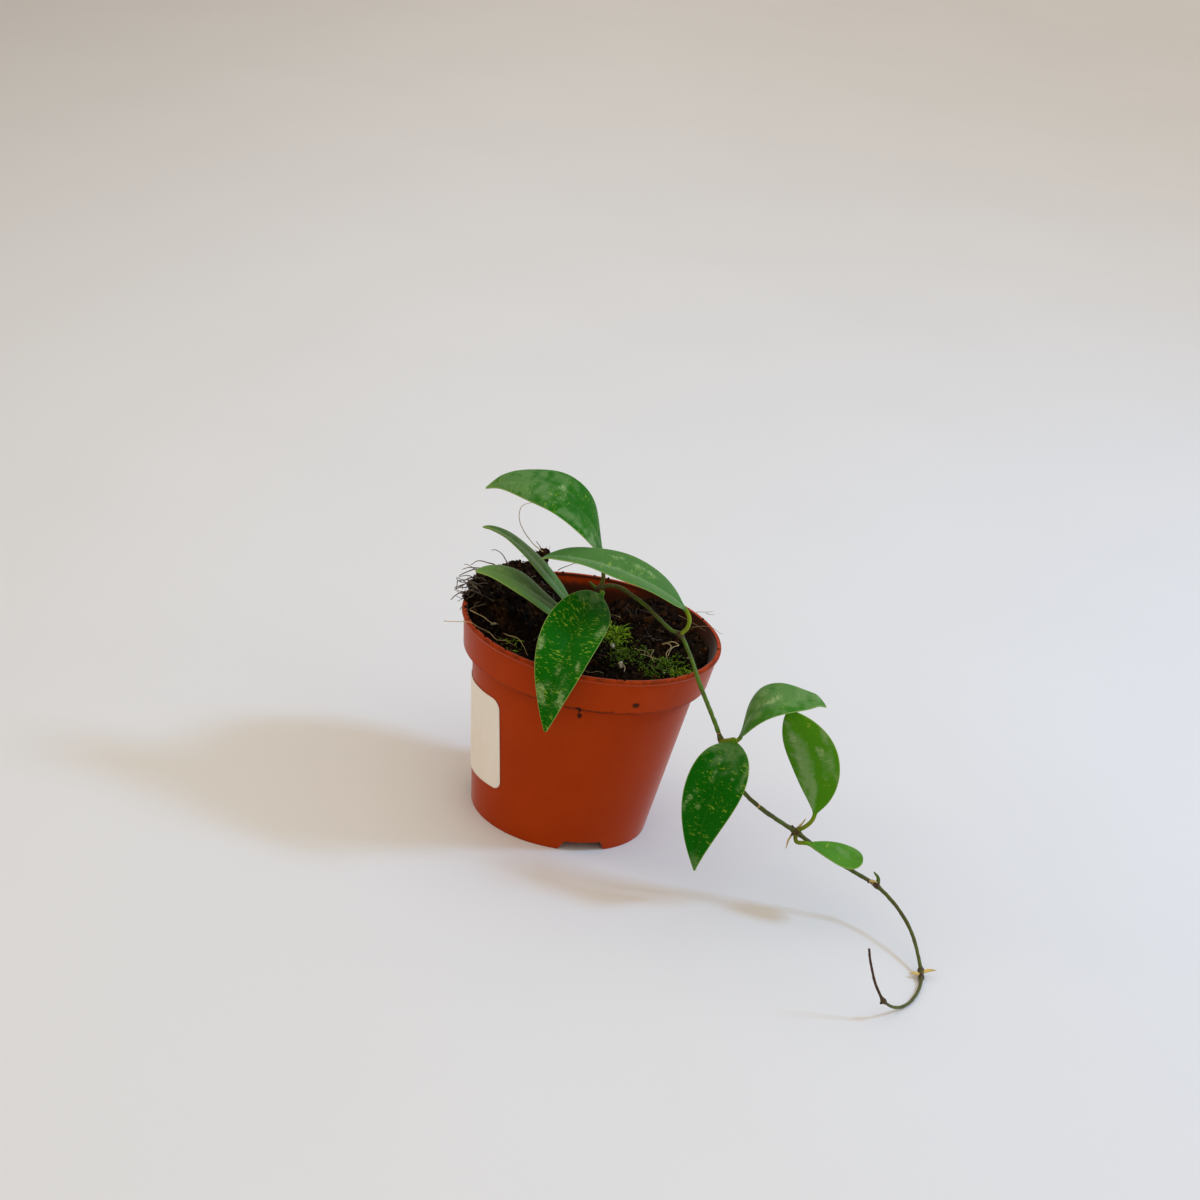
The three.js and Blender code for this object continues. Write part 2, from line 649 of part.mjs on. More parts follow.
const vineSpace = vineCore(CLEAR);
const shortShootSpace = shortShootCore(CLEAR);
const plant = new THREE.Group();
plant.add(pot());
plant.add(label());
plant.add(soil([vineSpace, shortShootSpace]));
plant.add(vine());
plant.add(meshFrom("short_shoot_stem", shortShootCore(), MATERIALS.stem));
for (const [name, spec] of Object.entries(LEAVES)) {
  const stem = name.includes("short_shoot") ? shortShootSpace : vineSpace;
  plant.add(leaf(name, spec, stem));
}

// The bounding box's middle goes over the origin
const middle = new THREE.Box3().setFromObject(plant).getCenter(new THREE.Vector3());
plant.position.set(-middle.x, -middle.y, 0);

export default plant;
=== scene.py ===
"""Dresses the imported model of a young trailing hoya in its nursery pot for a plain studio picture.

Every shape is worked out in millimetres in the pot's own frame: X to the right, Y away from the
camera, Z up from the table, with the pot's axis at X = Y = 0. place() turns that into the row frame.
"""

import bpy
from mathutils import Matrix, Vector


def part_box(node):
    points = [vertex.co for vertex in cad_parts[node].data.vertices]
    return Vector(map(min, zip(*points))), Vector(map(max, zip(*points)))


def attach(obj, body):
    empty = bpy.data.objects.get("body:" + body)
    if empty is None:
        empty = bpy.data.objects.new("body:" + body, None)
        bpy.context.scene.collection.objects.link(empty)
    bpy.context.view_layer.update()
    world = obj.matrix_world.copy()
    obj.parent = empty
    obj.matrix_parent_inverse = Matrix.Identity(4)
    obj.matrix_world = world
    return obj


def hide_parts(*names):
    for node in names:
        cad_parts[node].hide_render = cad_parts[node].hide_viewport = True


bl_info = {
    "name": "Trailing hoya in a nursery pot",
    "version": (1, 0, 0),
    "blender": (4, 5, 0),
    "location": "3D View > Sidebar > Hoya",
    "description": "Builds the pot, peat, vine and waxy leaves over the packed solids",
    "category": "Object",
}

from types import SimpleNamespace

import bmesh
import bpy
import numpy as np
from bpy.props import FloatProperty, FloatVectorProperty, IntProperty, PointerProperty
from mathutils import Matrix

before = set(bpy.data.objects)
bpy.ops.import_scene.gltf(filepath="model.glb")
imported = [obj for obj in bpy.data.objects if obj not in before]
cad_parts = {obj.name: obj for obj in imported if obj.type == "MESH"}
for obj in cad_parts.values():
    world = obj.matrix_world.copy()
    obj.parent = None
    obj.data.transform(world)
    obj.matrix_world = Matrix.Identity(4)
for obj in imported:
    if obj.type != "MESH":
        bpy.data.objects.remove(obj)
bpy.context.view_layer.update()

MM = 0.001
BODY = "root"
POT_LOW, POT_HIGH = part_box("pot")
POT_AXIS = np.array([(POT_LOW.x + POT_HIGH.x) / 2, (POT_LOW.y + POT_HIGH.y) / 2, POT_LOW.z])
FULL_TURN = 2 * np.pi
# The pot inside: how wide and deep its rolled lip is, and how far its ledge lies above and below the
# collar's lower edge, in mm
LIP_WIDTH, LIP_DEPTH = 2.1, 1.9
LEDGE_ABOVE, LEDGE_BELOW = 1.3, 0.8
# Rings of a leaf's stalk and of its blade
STALK_ROWS, BLADE_ROWS = 26, 120
# The sheen of a surface that scatters light softly
SATIN = dict(Sheen_Weight=0.4, Sheen_Roughness=0.3)

# Heaps of peat: middle, spread and rise, in mm
HEAPS = [
    ((-33, 24), 13, 12.5),
    ((-44, 2), 11, 4.5),
    ((24, 35), 11, 5.5),
    ((44, 4), 12, 2),
    ((16, -22), 12, 2.5),
    ((-6, 45), 12, -6),
]
# Clods on the crest of the heap and over the lip: middle and radius, in mm
CLODS = np.array([
    (-47.5, 3, 81, 6.5),
    (-45, 13, 83, 8),
    (-39, 23, 84.5, 8.5),
    (-32.5, 31.5, 84.5, 8),
    (-27, 37.5, 83.5, 6.3),
    (-27.4, 39, 90, 3.2),
    (-24.8, 39.3, 93, 2.2),
    (-32, 16, 84, 7.5),
])
# Chips of pumice on the peat: place and radius, in mm
CHIPS = np.array([
    (13.9, -26.4, 1.25), (9.3, -8.6, 0.95), (6.4, 12.4, 0.9), (5.2, 4.4, 0.7), (-38.6, -10.4, 1.0),
    (31, -24, 0.6), (40, -8, 0.55), (-18, -32, 0.6), (22, 14, 0.7), (-8, 22, 0.6),
])

# The long shoot, from the soil over the lip to the hook on the table, in mm
VINE = [
    (1.5, -2, 64), (1.4, -4, 76), (1, -9, 92), (0.3, -12, 103), (2.4, -12.5, 105.3), (7.4, -14.2, 106.5),
    (14.2, -17.4, 104.9), (19.3, -19.6, 103), (24.8, -22, 99.9), (30.2, -23.4, 96.8), (34.3, -24.4, 95.7),
    (39.4, -28.8, 90), (42.2, -32.2, 86), (44.6, -34.4, 82.2), (48.6, -36.7, 76), (53.1, -39.5, 69.6),
    (57.2, -42, 62.9), (62.5, -44, 53.5), (68.5, -45, 45.5), (77, -45.2, 39.3), (86, -45.2, 34.8),
    (93.2, -45.3, 31.6), (103.5, -46, 26.2), (113, -46.5, 22), (121, -47.5, 19.3), (128.5, -48, 16.3),
    (134, -52, 14), (138.2, -57, 12), (142, -63.5, 9.6), (144.6, -70, 7), (146.4, -77, 4.2), (147.5, -84, 2),
    (147.2, -90, 1.15), (146, -96, 1), (144.2, -101.4, 1), (142, -106.2, 1), (139.2, -110, 1.15),
    (136.1, -114, 2.6), (132.8, -118, 5.4), (130.1, -120.4, 8.3), (127.9, -121, 11.5), (125.5, -121.1, 15.5),
    (123.4, -121.1, 20.3), (121.6, -121.4, 25), (120.4, -121.9, 29),
]
# Radius of the shoot in mm at shares of its way
VINE_RADII = [
    (0, 1), (0.13, 0.88), (0.2, 0.78), (0.27, 0.78), (0.32, 0.86), (0.42, 0.84), (0.5, 0.9), (0.6, 0.84),
    (0.8, 0.67), (0.93, 0.55), (1, 0.45),
]
# How brown the skin is at shares of the way: 0 is fresh green and 1 is purple brown
VINE_BROWN = [
    (0, 0.95), (0.1, 0.85), (0.14, 0.6), (0.18, 0.35), (0.27, 0.25), (0.33, 0.1), (0.4, 0.3), (0.5, 0.4),
    (0.62, 0.5), (0.75, 0.5), (0.82, 0.6), (0.86, 0.45), (0.9, 0.4), (0.93, 0.9), (0.97, 0.95), (1, 1.05),
]
# Swollen joints: middle, radius, in mm
JOINTS = [
    ((0.2, -12, 103.4), 1.7),
    ((34.3, -24.4, 95.8), 1.5),
    ((57.1, -42, 63), 1.35),
    ((93.2, -45.3, 31.6), 1.75),
    ((128.3, -47.9, 16.4), 1.3),
    ((147.3, -82.8, 2.3), 1.5),
    ((147.6, -86.5, 1.6), 1.3),
    ((130.4, -120.2, 8), 1.25),
]
# Rings of dry pale skin round the shoot: middle, half length, in mm
HUSKS = [((56, -41.2, 65.2), 0.45), ((76.6, -45.2, 39.5), 0.7), ((126.6, -47.8, 17.2), 0.6)]
# Old leaf stalks, buds and aerial rootlets at the joints: points, radius at the foot, and brownness, in
# which 2 is a dry husk
STUBS = [
    ([(0.2, -12, 103.2), (-2.1, -11.6, 103.9), (-4.4, -11.5, 105.6)], 0.8, 0.15),
    ([(93, -44.8, 32.4), (94.7, -43.8, 34.6), (96, -43, 37.1)], 0.45, 1.85),
    ([(92.4, -45.2, 32.2), (91.5, -45.2, 33.4), (91, -45.1, 34.2)], 0.65, 0.9),
    ([(92, -46, 31.4), (90.7, -48, 28.9), (90.3, -49, 25.2)], 0.42, 1.85),
    ([(124.6, -47.9, 17.4), (126.4, -48.3, 18.3), (128.4, -48.4, 18)], 0.62, 2.0),
    ([(128.6, -47.4, 16.8), (128.4, -46.8, 19.2), (126.2, -46, 21.2)], 0.8, 0.15),
    ([(130.4, -120.2, 8), (129.7, -120.8, 7.4), (129.2, -121.1, 6.9)], 0.8, 0.95),
]
# Pale first leaves at the joint on the table: points from foot to tip, half width, in mm
LEAFLETS = [
    ([(147.6, -84, 2.4), (150.2, -83.4, 3.4), (153, -84, 4.4)], 0.95),
    ([(147.2, -85.5, 2), (145, -84.9, 2.1), (142.8, -85, 1.4)], 0.8),
]
# The short shoot that carries the two leaves in front, in mm
SHORT_SHOOT = [(-4.5, 2, 66), (-4.8, 1.5, 77), (-4.2, -3, 84), (-3.6, -5, 87.5), (-3.6, -5.6, 90)]

# Leaves: the Bezier points of the midrib, the way the face looks at its middle, the twist in degrees
# from foot to tip, the half width, how full the outline is towards foot and tip, the angle in degrees
# that the halves fold up by, and the stalk's points up to the foot. Then the look: tone from dark to
# light, how many flecks, how much painted sheen of reflected light covers the whole face, how brown the
# stalk's foot is, the fall of the last of the tip in mm, how wavy the edge is, and the pale patches: mm
# across, share of the way to the tip, how far they spread across and along in mm, how much painted
# sheen they carry, and how streaked they are with frost and painted highlights.
LEAVES = {
    "leaf_joint1_high": dict(
        midrib=[(-2, -3.5, 116), (-6.5, -6.5, 132), (-26, -6.5, 146.5), (-52.7, -3.5, 133.5)],
        faces=(0.55, -0.25, 0.8), twist=-23, half_width=14.8, foot=0.75, tip=1.1, cup=1,
        stalk=[(0.2, -12, 103.8), (0.9, -10.6, 107), (0.3, -8, 109.8)],
        tone=0.2, flecks=0.5, painted_sheen=0.02, browning=1.3, droop=2.2, wave=0.35,
        patches=[
            (0, 0.86, 16, 22, 0.62, 0.5), (-4, 0.64, 8, 6, 0.5, 0.6), (9, 0.58, 5, 8, 0.5, 0.5),
            (3.5, 0.54, 1.8, 4, 0.7, 0.95), (-10, 0.42, 3.5, 7, 0.6, 0.5), (-10, 0.17, 3.5, 6, 0.9, 0.3),
        ],
    ),
    "leaf_joint1_hanging": dict(
        midrib=[(1.8, -15.4, 103), (-6.6, -34.5, 96.5), (-9.5, -58.5, 94), (-10, -61, 61)],
        faces=(-0.1, -0.75, 0.65), twist=37, half_width=12.5, foot=0.75, tip=0.9, cup=22,
        stalk=[(0.2, -12, 103.2), (1.3, -13.7, 103.1)],
        tone=-0.05, flecks=0.9, painted_sheen=0, browning=0.9, droop=0, wave=0.3,
        patches=[
            (3, 0.05, 9, 8, 0.62, 0.3), (7, 0.12, 5, 5, 0.5, 0.3), (4.5, 0.83, 3.8, 5, 0.42, 1),
            (-4.5, 0.84, 2.8, 5, 0.45, 1), (-10.2, 0.39, 1.8, 5, 0.5, 0.95), (10.4, 0.59, 1.6, 5, 0.4, 0.9),
            (-7.6, 0.66, 1.6, 3, 0.35, 0.95), (0.5, 0.68, 1.4, 3.5, 0.3, 0.8), (-3, 0.76, 3, 4, 0.2, 0.7),
        ],
    ),
    "leaf_joint2_arched": dict(
        midrib=[(34.5, -24.5, 106.5), (19.5, -28, 119.5), (-13.5, -27, 124), (-24.8, -21.5, 115)],
        faces=(0.05, -0.05, 1), twist=-5, half_width=12.5, foot=0.6, tip=1.1, cup=9,
        stalk=[(34.3, -24.4, 95.8), (36.5, -25, 99.6), (36.5, -25, 103.5)],
        tone=0.15, flecks=0.45, painted_sheen=0.48, browning=0.1, droop=0.6, wave=0.25,
        patches=[
            (-2, 0.5, 4, 24, 0.68, 0.7), (6, 0.35, 1.8, 3, 0.7, 1), (5.5, 0.28, 1.6, 3, 0.65, 1),
            (6.5, 0.49, 1.8, 4, 0.65, 1),
        ],
    ),
    "leaf_joint3_high": dict(
        midrib=[(64.5, -40, 64.5), (67, -43, 87), (76, -39, 83.5), (96, -36, 85)],
        faces=(-0.4, -0.15, 0.9), twist=20, half_width=12.8, foot=0.62, tip=0.95, cup=1,
        stalk=[(57.2, -41.6, 63), (61.2, -41, 61.8)],
        tone=0.35, flecks=0.3, painted_sheen=0.2, browning=0.3, droop=3.2, wave=0.3,
        patches=[
            (-2, 0.66, 14, 24, 0.62, 0.5), (0.5, 0.5, 3, 5.5, 0.85, 1), (-3, 0.83, 6, 9, 0.72, 0.6),
            (-6, 0.42, 3, 5, 0.7, 0.7),
        ],
    ),
    "leaf_joint3_hanging": dict(
        midrib=[(62, -46.8, 66.3), (60.5, -57.5, 54.5), (54, -58, 41), (56.5, -61, 14.5)],
        faces=(-0.3, -0.9, 0.25), twist=11, half_width=12.25, foot=0.65, tip=1, cup=22,
        stalk=[(57.2, -42.4, 62.6), (59.8, -44.6, 64.6)],
        tone=-0.05, flecks=0.6, painted_sheen=0, browning=0.4, droop=0, wave=0.3,
        patches=[
            (1, 0.07, 10, 9, 0.55, 0.3), (8, 0.56, 1.4, 1.6, 0.3, 1), (9.2, 0.63, 1.5, 3, 0.25, 0.9),
            (4, 0.6, 1.3, 2, 0.15, 1), (2.6, 0.31, 1.3, 5, 0.4, 0.8), (-5.4, 0.315, 1.3, 1, 0.6, 1),
            (-9.8, 0.27, 1.4, 5, 0.5, 0.7), (7.6, 0.5, 1.7, 1.3, 0.3, 1), (-4, 0.2, 4, 5, 0.3, 0.4),
            (0, 0.97, 3, 6, 0.5, 0.3),
        ],
    ),
    "leaf_joint4_upright": dict(
        midrib=[(98.6, -46, 40.2), (98.5, -46.5, 60), (91, -46, 68.5), (80, -44.5, 81.5)],
        faces=(-0.4, -0.9, -0.2), twist=0, half_width=11.25, foot=0.9, tip=0.7, cup=-3,
        stalk=[(93.2, -45.3, 32), (96.1, -46, 35), (97.9, -46, 37.6)],
        # Its high tone paints light shining through the blade, and its first patches paint a highlight band
        # down its left half
        tone=0.95, flecks=0.35, painted_sheen=0.05, browning=0.55, droop=0, wave=0.2,
        patches=[
            (-4.6, 0.45, 3.2, 20, 1.1, 0.5), (-6, 0.49, 1.9, 5, 1.1, 0.9), (-1.8, 0.2, 1.8, 11, 1.1, 0.6),
            (-1.5, 0.62, 2.2, 9, 0.6, 0.4), (-4.5, 0.75, 1.6, 3, 0.9, 1), (7, 0.46, 3, 6, 0.6, 0.7),
            (5, 0.56, 1.8, 3.4, 0.6, 1), (9, 0.7, 1.5, 7, 0.8, 0.7),
        ],
    ),
    "leaf_joint4_small": dict(
        midrib=[(97.5, -50, 30), (106, -51.5, 30), (114, -50, 25.5), (120.5, -51, 27.5)],
        faces=(0.1, -0.3, 0.95), twist=-6, half_width=6.5, foot=0.95, tip=0.45, cup=6,
        stalk=[(93, -45.8, 31.2), (93.8, -48, 28.9)],
        tone=0.7, flecks=0.3, painted_sheen=0.3, browning=0.8, droop=0, wave=0.15,
        patches=[
            (-1.5, 0.6, 2.5, 5, 0.6, 0.5), (-4, 0.85, 3, 4, 0.5, 0.4),
        ],
    ),
    "leaf_short_shoot_high": dict(
        midrib=[(-8.5, -5.5, 90.5), (-18.5, -8, 101), (-36, -6, 118.5), (-49.5, -8.5, 119)],
        faces=(0.25, 0.1, 0.95), twist=10, half_width=11.5, foot=0.7, tip=1, cup=3,
        stalk=[(-3.8, -4.6, 87.6), (-6, -4.8, 88.4)],
        tone=0.15, flecks=0.4, painted_sheen=0.48, browning=0.6, droop=0.5, wave=0.2,
        patches=[
            (1, 0.55, 2.5, 14, 0.7, 0.7), (-2, 0.3, 3, 10, 0.62, 0.6),
        ],
    ),
    "leaf_short_shoot_low": dict(
        midrib=[(-9, -6.5, 87), (-22, -10.5, 92.5), (-33, -14, 105.5), (-49, -18.5, 104)],
        faces=(0.15, -0.05, 1), twist=-1, half_width=12, foot=0.75, tip=0.95, cup=1,
        stalk=[(-3.9, -4.8, 85), (-6.4, -6, 85.4)],
        tone=0.7, flecks=0.6, painted_sheen=0.8, browning=0.6, droop=0.5, wave=0.2,
        patches=[
            (7.5, 0.55, 1.6, 1.6, 1, 1), (1, 0.52, 2.2, 5, 0.75, 1), (2, 0.3, 4, 8, 0.65, 0.9),
            (3, 0.72, 3, 6, 0.6, 0.8),
        ],
    ),
}

# Long fibres on the heap, over the lip and on the peat: points and radius in mm, paleness, and for some
# how kinked
STRANDS = [
    ([(-57.5, -23, 82), (-52, -24, 83.9), (-46, -25, 84.4), (-38, -25, 81.6)], 0.16, 1.0, 0.15),
    ([(-48, -12, 84), (-43, -14, 83.4), (-36, -15, 82)], 0.26, 0.75),
    ([(-40, -24, 81.5), (-34, -27, 81), (-28, -28, 80.5)], 0.16, 0.7),
    ([(-33, -24, 82), (-28, -28, 83), (-24, -33, 82.4), (-22, -36, 80)], 0.2, 0.6),
    ([(-46, 10, 86), (-50, 8, 88), (-53, 6, 87), (-57, 4, 84.5)], 0.4, 0.1),
    ([(-51, 8, 88), (-54, 9, 88), (-56, 11, 87)], 0.22, 0.2),
    ([(-45, 3, 85), (-50, 0, 87), (-54, -1, 86), (-56.5, -3, 83.5)], 0.38, 0.1),
    ([(-52, -1, 86.6), (-55, 1, 86.4), (-57, 2, 87)], 0.2, 0.2),
    ([(-45, 14, 89), (-50, 14, 91), (-54, 12, 90), (-56.5, 12, 88)], 0.36, 0.12),
    ([(-51, 14, 91), (-54, 16, 92), (-55.5, 17, 91.5)], 0.2, 0.25),
    ([(-42, 20, 91), (-46, 19, 93), (-50, 20, 93), (-53, 18, 91)], 0.3, 0.2),
    ([(-38, 27, 91), (-41, 29, 94), (-44, 29, 95), (-46, 30, 94)], 0.26, 0.2),
    ([(-25, 38, 91), (-27, 39, 96), (-29, 40, 98)], 0.3, 0.1),
    ([(-18, 42, 86), (-13, 43, 90), (-9, 43, 91)], 0.2, 0.2),
    (
        [(-24.5, 38, 94), (-30.5, 35, 99), (-36, 29, 108), (-37, 20, 118), (-33, 8, 126), (-26, -1, 130)],
        0.2, 1.6, 0.05,
    ),
    ([(41, 30, 84), (44, 29.5, 85.2), (47.5, 30, 86.4)], 0.12, 0.5),
    ([(45, 29, 85.4), (47, 27, 86), (48.5, 26, 86.6)], 0.1, 0.3),
    ([(40, 18, 82), (44, 16, 84.2), (48, 14, 84.8), (52.5, 12.5, 84.3)], 0.12, 0.6),
    ([(34, 24, 84), (40, 19, 83.5), (46, 15, 83)], 0.12, 0.35),
    ([(14, -24, 79), (14.6, -27, 80), (15.5, -31, 79.5), (16, -35, 78)], 0.32, 0.5),
    ([(21.5, -7, 79.5), (22.5, -10, 80), (23, -13, 79.6)], 0.2, 0.7),
    ([(29, -3, 81.5), (32, -4, 83), (35, -5, 83), (33, -8, 82.2), (32, -12, 81.2)], 0.24, 1.1),
    ([(31, -5, 82.4), (32.6, -8, 82.6), (31, -12, 81.6), (31.5, -15, 80.6)], 0.2, 0.95),
    ([(18, -9, 80), (20, -12, 81.4), (23, -13, 81.4), (26, -16, 80.4)], 0.13, 1.2),
    ([(20, -16, 80), (23, -17, 81.6), (27, -17, 81.2), (30, -19, 80.6)], 0.12, 1.1),
    ([(24, -9, 80.4), (26, -12, 81.8), (25, -16, 81.4), (27, -20, 80.4)], 0.12, 1.0),
    ([(-5, -38, 80), (1, -39, 79.8), (8, -38.4, 79.5)], 0.14, 0.55),
]
# Dirt on the pot: middle, spread in mm each way, strength
POT_MARKS = [
    ((0.6, -49.4, 68.3), (1.5, 3, 0.6), 1.6),
    ((1.3, -45.4, 66.2), (0.6, 1.6, 1.5), 1.6),
    ((1.7, -45.2, 63.4), (1.2, 2, 1.1), 1.7),
    ((22.3, -45.1, 71.8), (2.2, 3, 1.1), 1.5),
    ((14, -48, 69), (0.7, 2, 0.6), 1.2),
    ((-20, -45, 68.6), (2.5, 3, 0.4), 1.2),
]

# Moss cushions on the peat: middle, spread in mm, number of strands, strand length in mm, freshness
MOSS = [
    ((9, 8), 4, 420, 3.0, 1),
    ((10, 0), 5, 380, 2.0, 0.85),
    ((13, -9), 5, 200, 1.5, 0.6),
    ((31, -14), 4.5, 160, 1.6, 0.38),
    ((38, -22), 4, 300, 2, 0.8),
    ((30, -20), 8, 200, 1.4, 0.35),
    ((14, -19), 5, 120, 1.5, 0.4),
    ((26, -27), 4, 90, 1.4, 0.4),
    ((-30, -22), 5, 50, 1.6, 0.8),
    ((21, -13), 8, 240, 1.0, 0.35),
    ((13, -22), 6, 140, 1.1, 0.3),
    ((36, -12), 5, 90, 1.2, 0.4),
]


# Units and colours


def place(points):
    """Row frame, in metres, of points in mm in the pot's own frame."""
    return np.asarray(points, float) * MM + POT_AXIS


def in_mm(group):
    """The lengths of a property group, in mm and under their own names."""
    items = group.bl_rna.properties
    lengths = [item.identifier for item in items if getattr(item, "unit", None) == "LENGTH"]
    return SimpleNamespace(**{name: getattr(group, name) / MM for name in lengths})


def linear(code):
    """The linear colour of an sRGB hex code: each channel goes through the sRGB curve."""
    channels = np.array([int(code[i : i + 2], 16) for i in (0, 2, 4)]) / 255
    curve = np.where(channels <= 0.04045, channels / 12.92, ((channels + 0.055) / 1.055) ** 2.4)
    return (*curve.tolist(), 1.0)


def amount(name, description, default, **kind):
    return FloatProperty(name=name, description=description, default=default, **kind)


def length(name, description, millimetres):
    return amount(name, description, millimetres * MM, unit="LENGTH", precision=5)


def paint(name, description, code):
    look = dict(default=linear(code), size=4, min=0, max=1, subtype="COLOR")
    return FloatVectorProperty(name=name, description=description, **look)


# Shapes as whole arrays


def unit(vectors):
    """The vectors at length one."""
    return vectors / np.maximum(np.linalg.norm(vectors, axis=-1, keepdims=True), 1e-12)


def mix(a, b, share):
    return a + (b - a) * share


def ease(share):
    """0 to 1 with level ends: the share held in 0 to 1, as 3 s^2 - 2 s^3."""
    s = np.clip(share, 0, 1)
    return s * s * (3 - 2 * s)


def round_steps(count):
    """Even steps of one full turn."""
    return np.arange(count) * FULL_TURN / count


def polar(radius, turn):
    """Points of the plane: radius (cos turn, sin turn)."""
    return np.stack([radius * np.cos(turn), radius * np.sin(turn)], -1)


def from_axis(points):
    return np.hypot(points[..., 0], points[..., 1])


def ripple(points, size, seed, waves=16):
    """Smooth random relief with a spread of one: the sum of plane waves, each about size mm long, that
    run in seeded directions from seeded phases."""
    random = np.random.default_rng(seed)
    ways = unit(random.normal(size=(waves, points.shape[-1])))
    numbers = FULL_TURN / (size * random.uniform(0.7, 1.5, waves))
    phases = random.uniform(0, FULL_TURN, waves)
    return np.sin(points @ (ways * numbers[:, None]).T + phases).sum(-1) * np.sqrt(2 / waves)


def way_along(path):
    """The length of the way from the start of a path to each of its points."""
    return np.concatenate([[0], np.cumsum(np.linalg.norm(np.diff(path, axis=0), axis=1))])


def sample(path, way, at):
    """A path's points at other places on its way."""
    return np.stack([np.interp(at, way, column) for column in path.T], 1)


def smooth_path(points, count):
    """Centripetal Catmull-Rom curve at equal steps of its length: each span is the pyramid of weighted
    means of its four nearest points, with knots as far apart as the root of the distance between them."""
    span_steps = 40
    p = np.asarray(points, float)
    p = np.vstack([2 * p[0] - p[1], p, 2 * p[-1] - p[-2]])
    a, b, c, d = (p[i : len(p) - 3 + i, None] for i in range(4))
    gap = np.sqrt(np.linalg.norm(np.diff(p, axis=0), axis=1))[:, None, None]
    k0 = np.zeros((len(gap) - 2, 1, 1))
    k1 = k0 + gap[:-2]
    k2 = k1 + gap[1:-1]
    k3 = k2 + gap[2:]
    k = mix(k1, k2, np.linspace(0, 1, span_steps)[None, :, None])

    def between(low, high, from_knot, to_knot):
        return (low * (to_knot - k) + high * (k - from_knot)) / (to_knot - from_knot)

    ab, bc, cd = between(a, b, k0, k1), between(b, c, k1, k2), between(c, d, k2, k3)
    fine = between(between(ab, bc, k0, k2), between(bc, cd, k1, k3), k1, k2).reshape(-1, 3)
    way = way_along(fine)
    return sample(fine, way, np.linspace(0, way[-1], count))


def sideways(path, start):
    """Vectors across a path that turn no more than the path does: each is the one before it, less what
    points along the path. start is the first."""
    along = unit(np.gradient(path, axis=0))
    across = [unit(np.asarray(start, float))]
    for way in along:
        across.append(unit(across[-1] - (across[-1] @ way) * way))
    return along, np.array(across[1:])


def grid_faces(rows, columns, around=True):
    """Four-cornered faces of a grid numbered row by row, which goes right round unless told not to."""
    row, column = np.meshgrid(np.arange(rows - 1), np.arange(columns - (not around)), indexing="ij")
    low, high, following = row * columns, (row + 1) * columns, (column + 1) % columns
    return np.stack([low + column, low + following, high + following, high + column], -1).reshape(-1, 4)


def shells(rings):
    """Closed shapes from stacks of rings, n x rows x columns x 3: faces run from ring to ring and right
    round, and a pole at the middle of the first and last ring closes each end."""
    n, rows, columns = rings.shape[:3]
    size = rows * columns + 2
    poles = rings[:, [0, -1]].mean(2)
    points = np.concatenate([rings.reshape(n, -1, 3), poles], 1)
    this = np.arange(columns)
    following = (this + 1) % columns
    first, last = np.full(columns, size - 2), np.full(columns, size - 1)
    end = (rows - 1) * columns
    caps = np.stack([first, following, this], 1), np.stack([last, end + this, end + following], 1)
    starts = (np.arange(n) * size)[:, None, None]
    groups = (grid_faces(rows, columns), 4), (np.concatenate(caps), 3)
    return points.reshape(-1, 3), [(starts + faces).reshape(-1, corners) for faces, corners in groups]


def for_shells(values, columns):
    """Numbers given per shape and ring, n x rows, spread over the points that shells() makes."""
    spread = np.repeat(values[:, :, None], columns, 2).reshape(len(values), -1)
    return np.concatenate([spread, values[:, [0]], values[:, [-1]]], 1).reshape(-1)


def with_poles(grid):
    """The numbers of a grid of points in the order of shells(), each pole taking the mean of its ring."""
    flat = grid.reshape(grid.shape[0] * grid.shape[1], *grid.shape[2:])
    return np.concatenate([flat, grid[[0, -1]].mean(1)])


def tube_rings(path, radii, sides):
    """Rings of a tube: path + radius (cos t across + sin t over), with t going round once."""
    along, across = sideways(path, (0.3, 0.2, 1))
    over = np.cross(along, across)
    turn = round_steps(sides)[:, None]
    wheel = np.cos(turn) * across[:, None] + np.sin(turn) * over[:, None]
    return path[:, None] + np.asarray(radii)[:, None, None] * wheel


def many_tubes(paths, radii, sides=4):
    """Rings of many short tubes at once, n x rows x sides x 3, by the same formula as tube_rings."""
    along = unit(np.gradient(paths, axis=1))
    aside = unit(np.cross(paths[:, -1] - paths[:, 0], [0.31, 0.52, 0.79]))[:, None]
    across = unit(aside - (aside * along).sum(-1, keepdims=True) * along)
    over = np.cross(along, across)
    turn = round_steps(sides)[:, None]
    wheel = np.cos(turn) * across[:, :, None] + np.sin(turn) * over[:, :, None]
    return paths[:, :, None] + radii[:, :, None, None] * wheel


def bent_paths(start, reach, way, bend, rows, kinks=0):
    """Short paths: start + reach (way s + bend s^2 + kinks s), with s going from 0 to 1."""
    share = np.linspace(0, 1, rows)[None, :, None]
    bent = way[:, None] * share + bend[:, None] * share**2 + kinks * share
    return start[:, None] + reach[:, None, None] * bent


def ball_rings(lift, sides):
    """Rings of a ball of radius one at the heights lift, each as wide as the root of 1 - lift^2."""
    turn = round_steps(sides)
    flat = polar(np.sqrt(1 - lift**2)[:, None], turn)
    return np.dstack([flat, lift[:, None] + 0 * turn])


def join(parts):
    """One set of points and faces from several."""
    starts = np.cumsum([0] + [len(points) for points, _ in parts[:-1]])
    faces = [face + start for (_, group), start in zip(parts, starts) for face in group]
    return np.concatenate([points for points, _ in parts]), faces


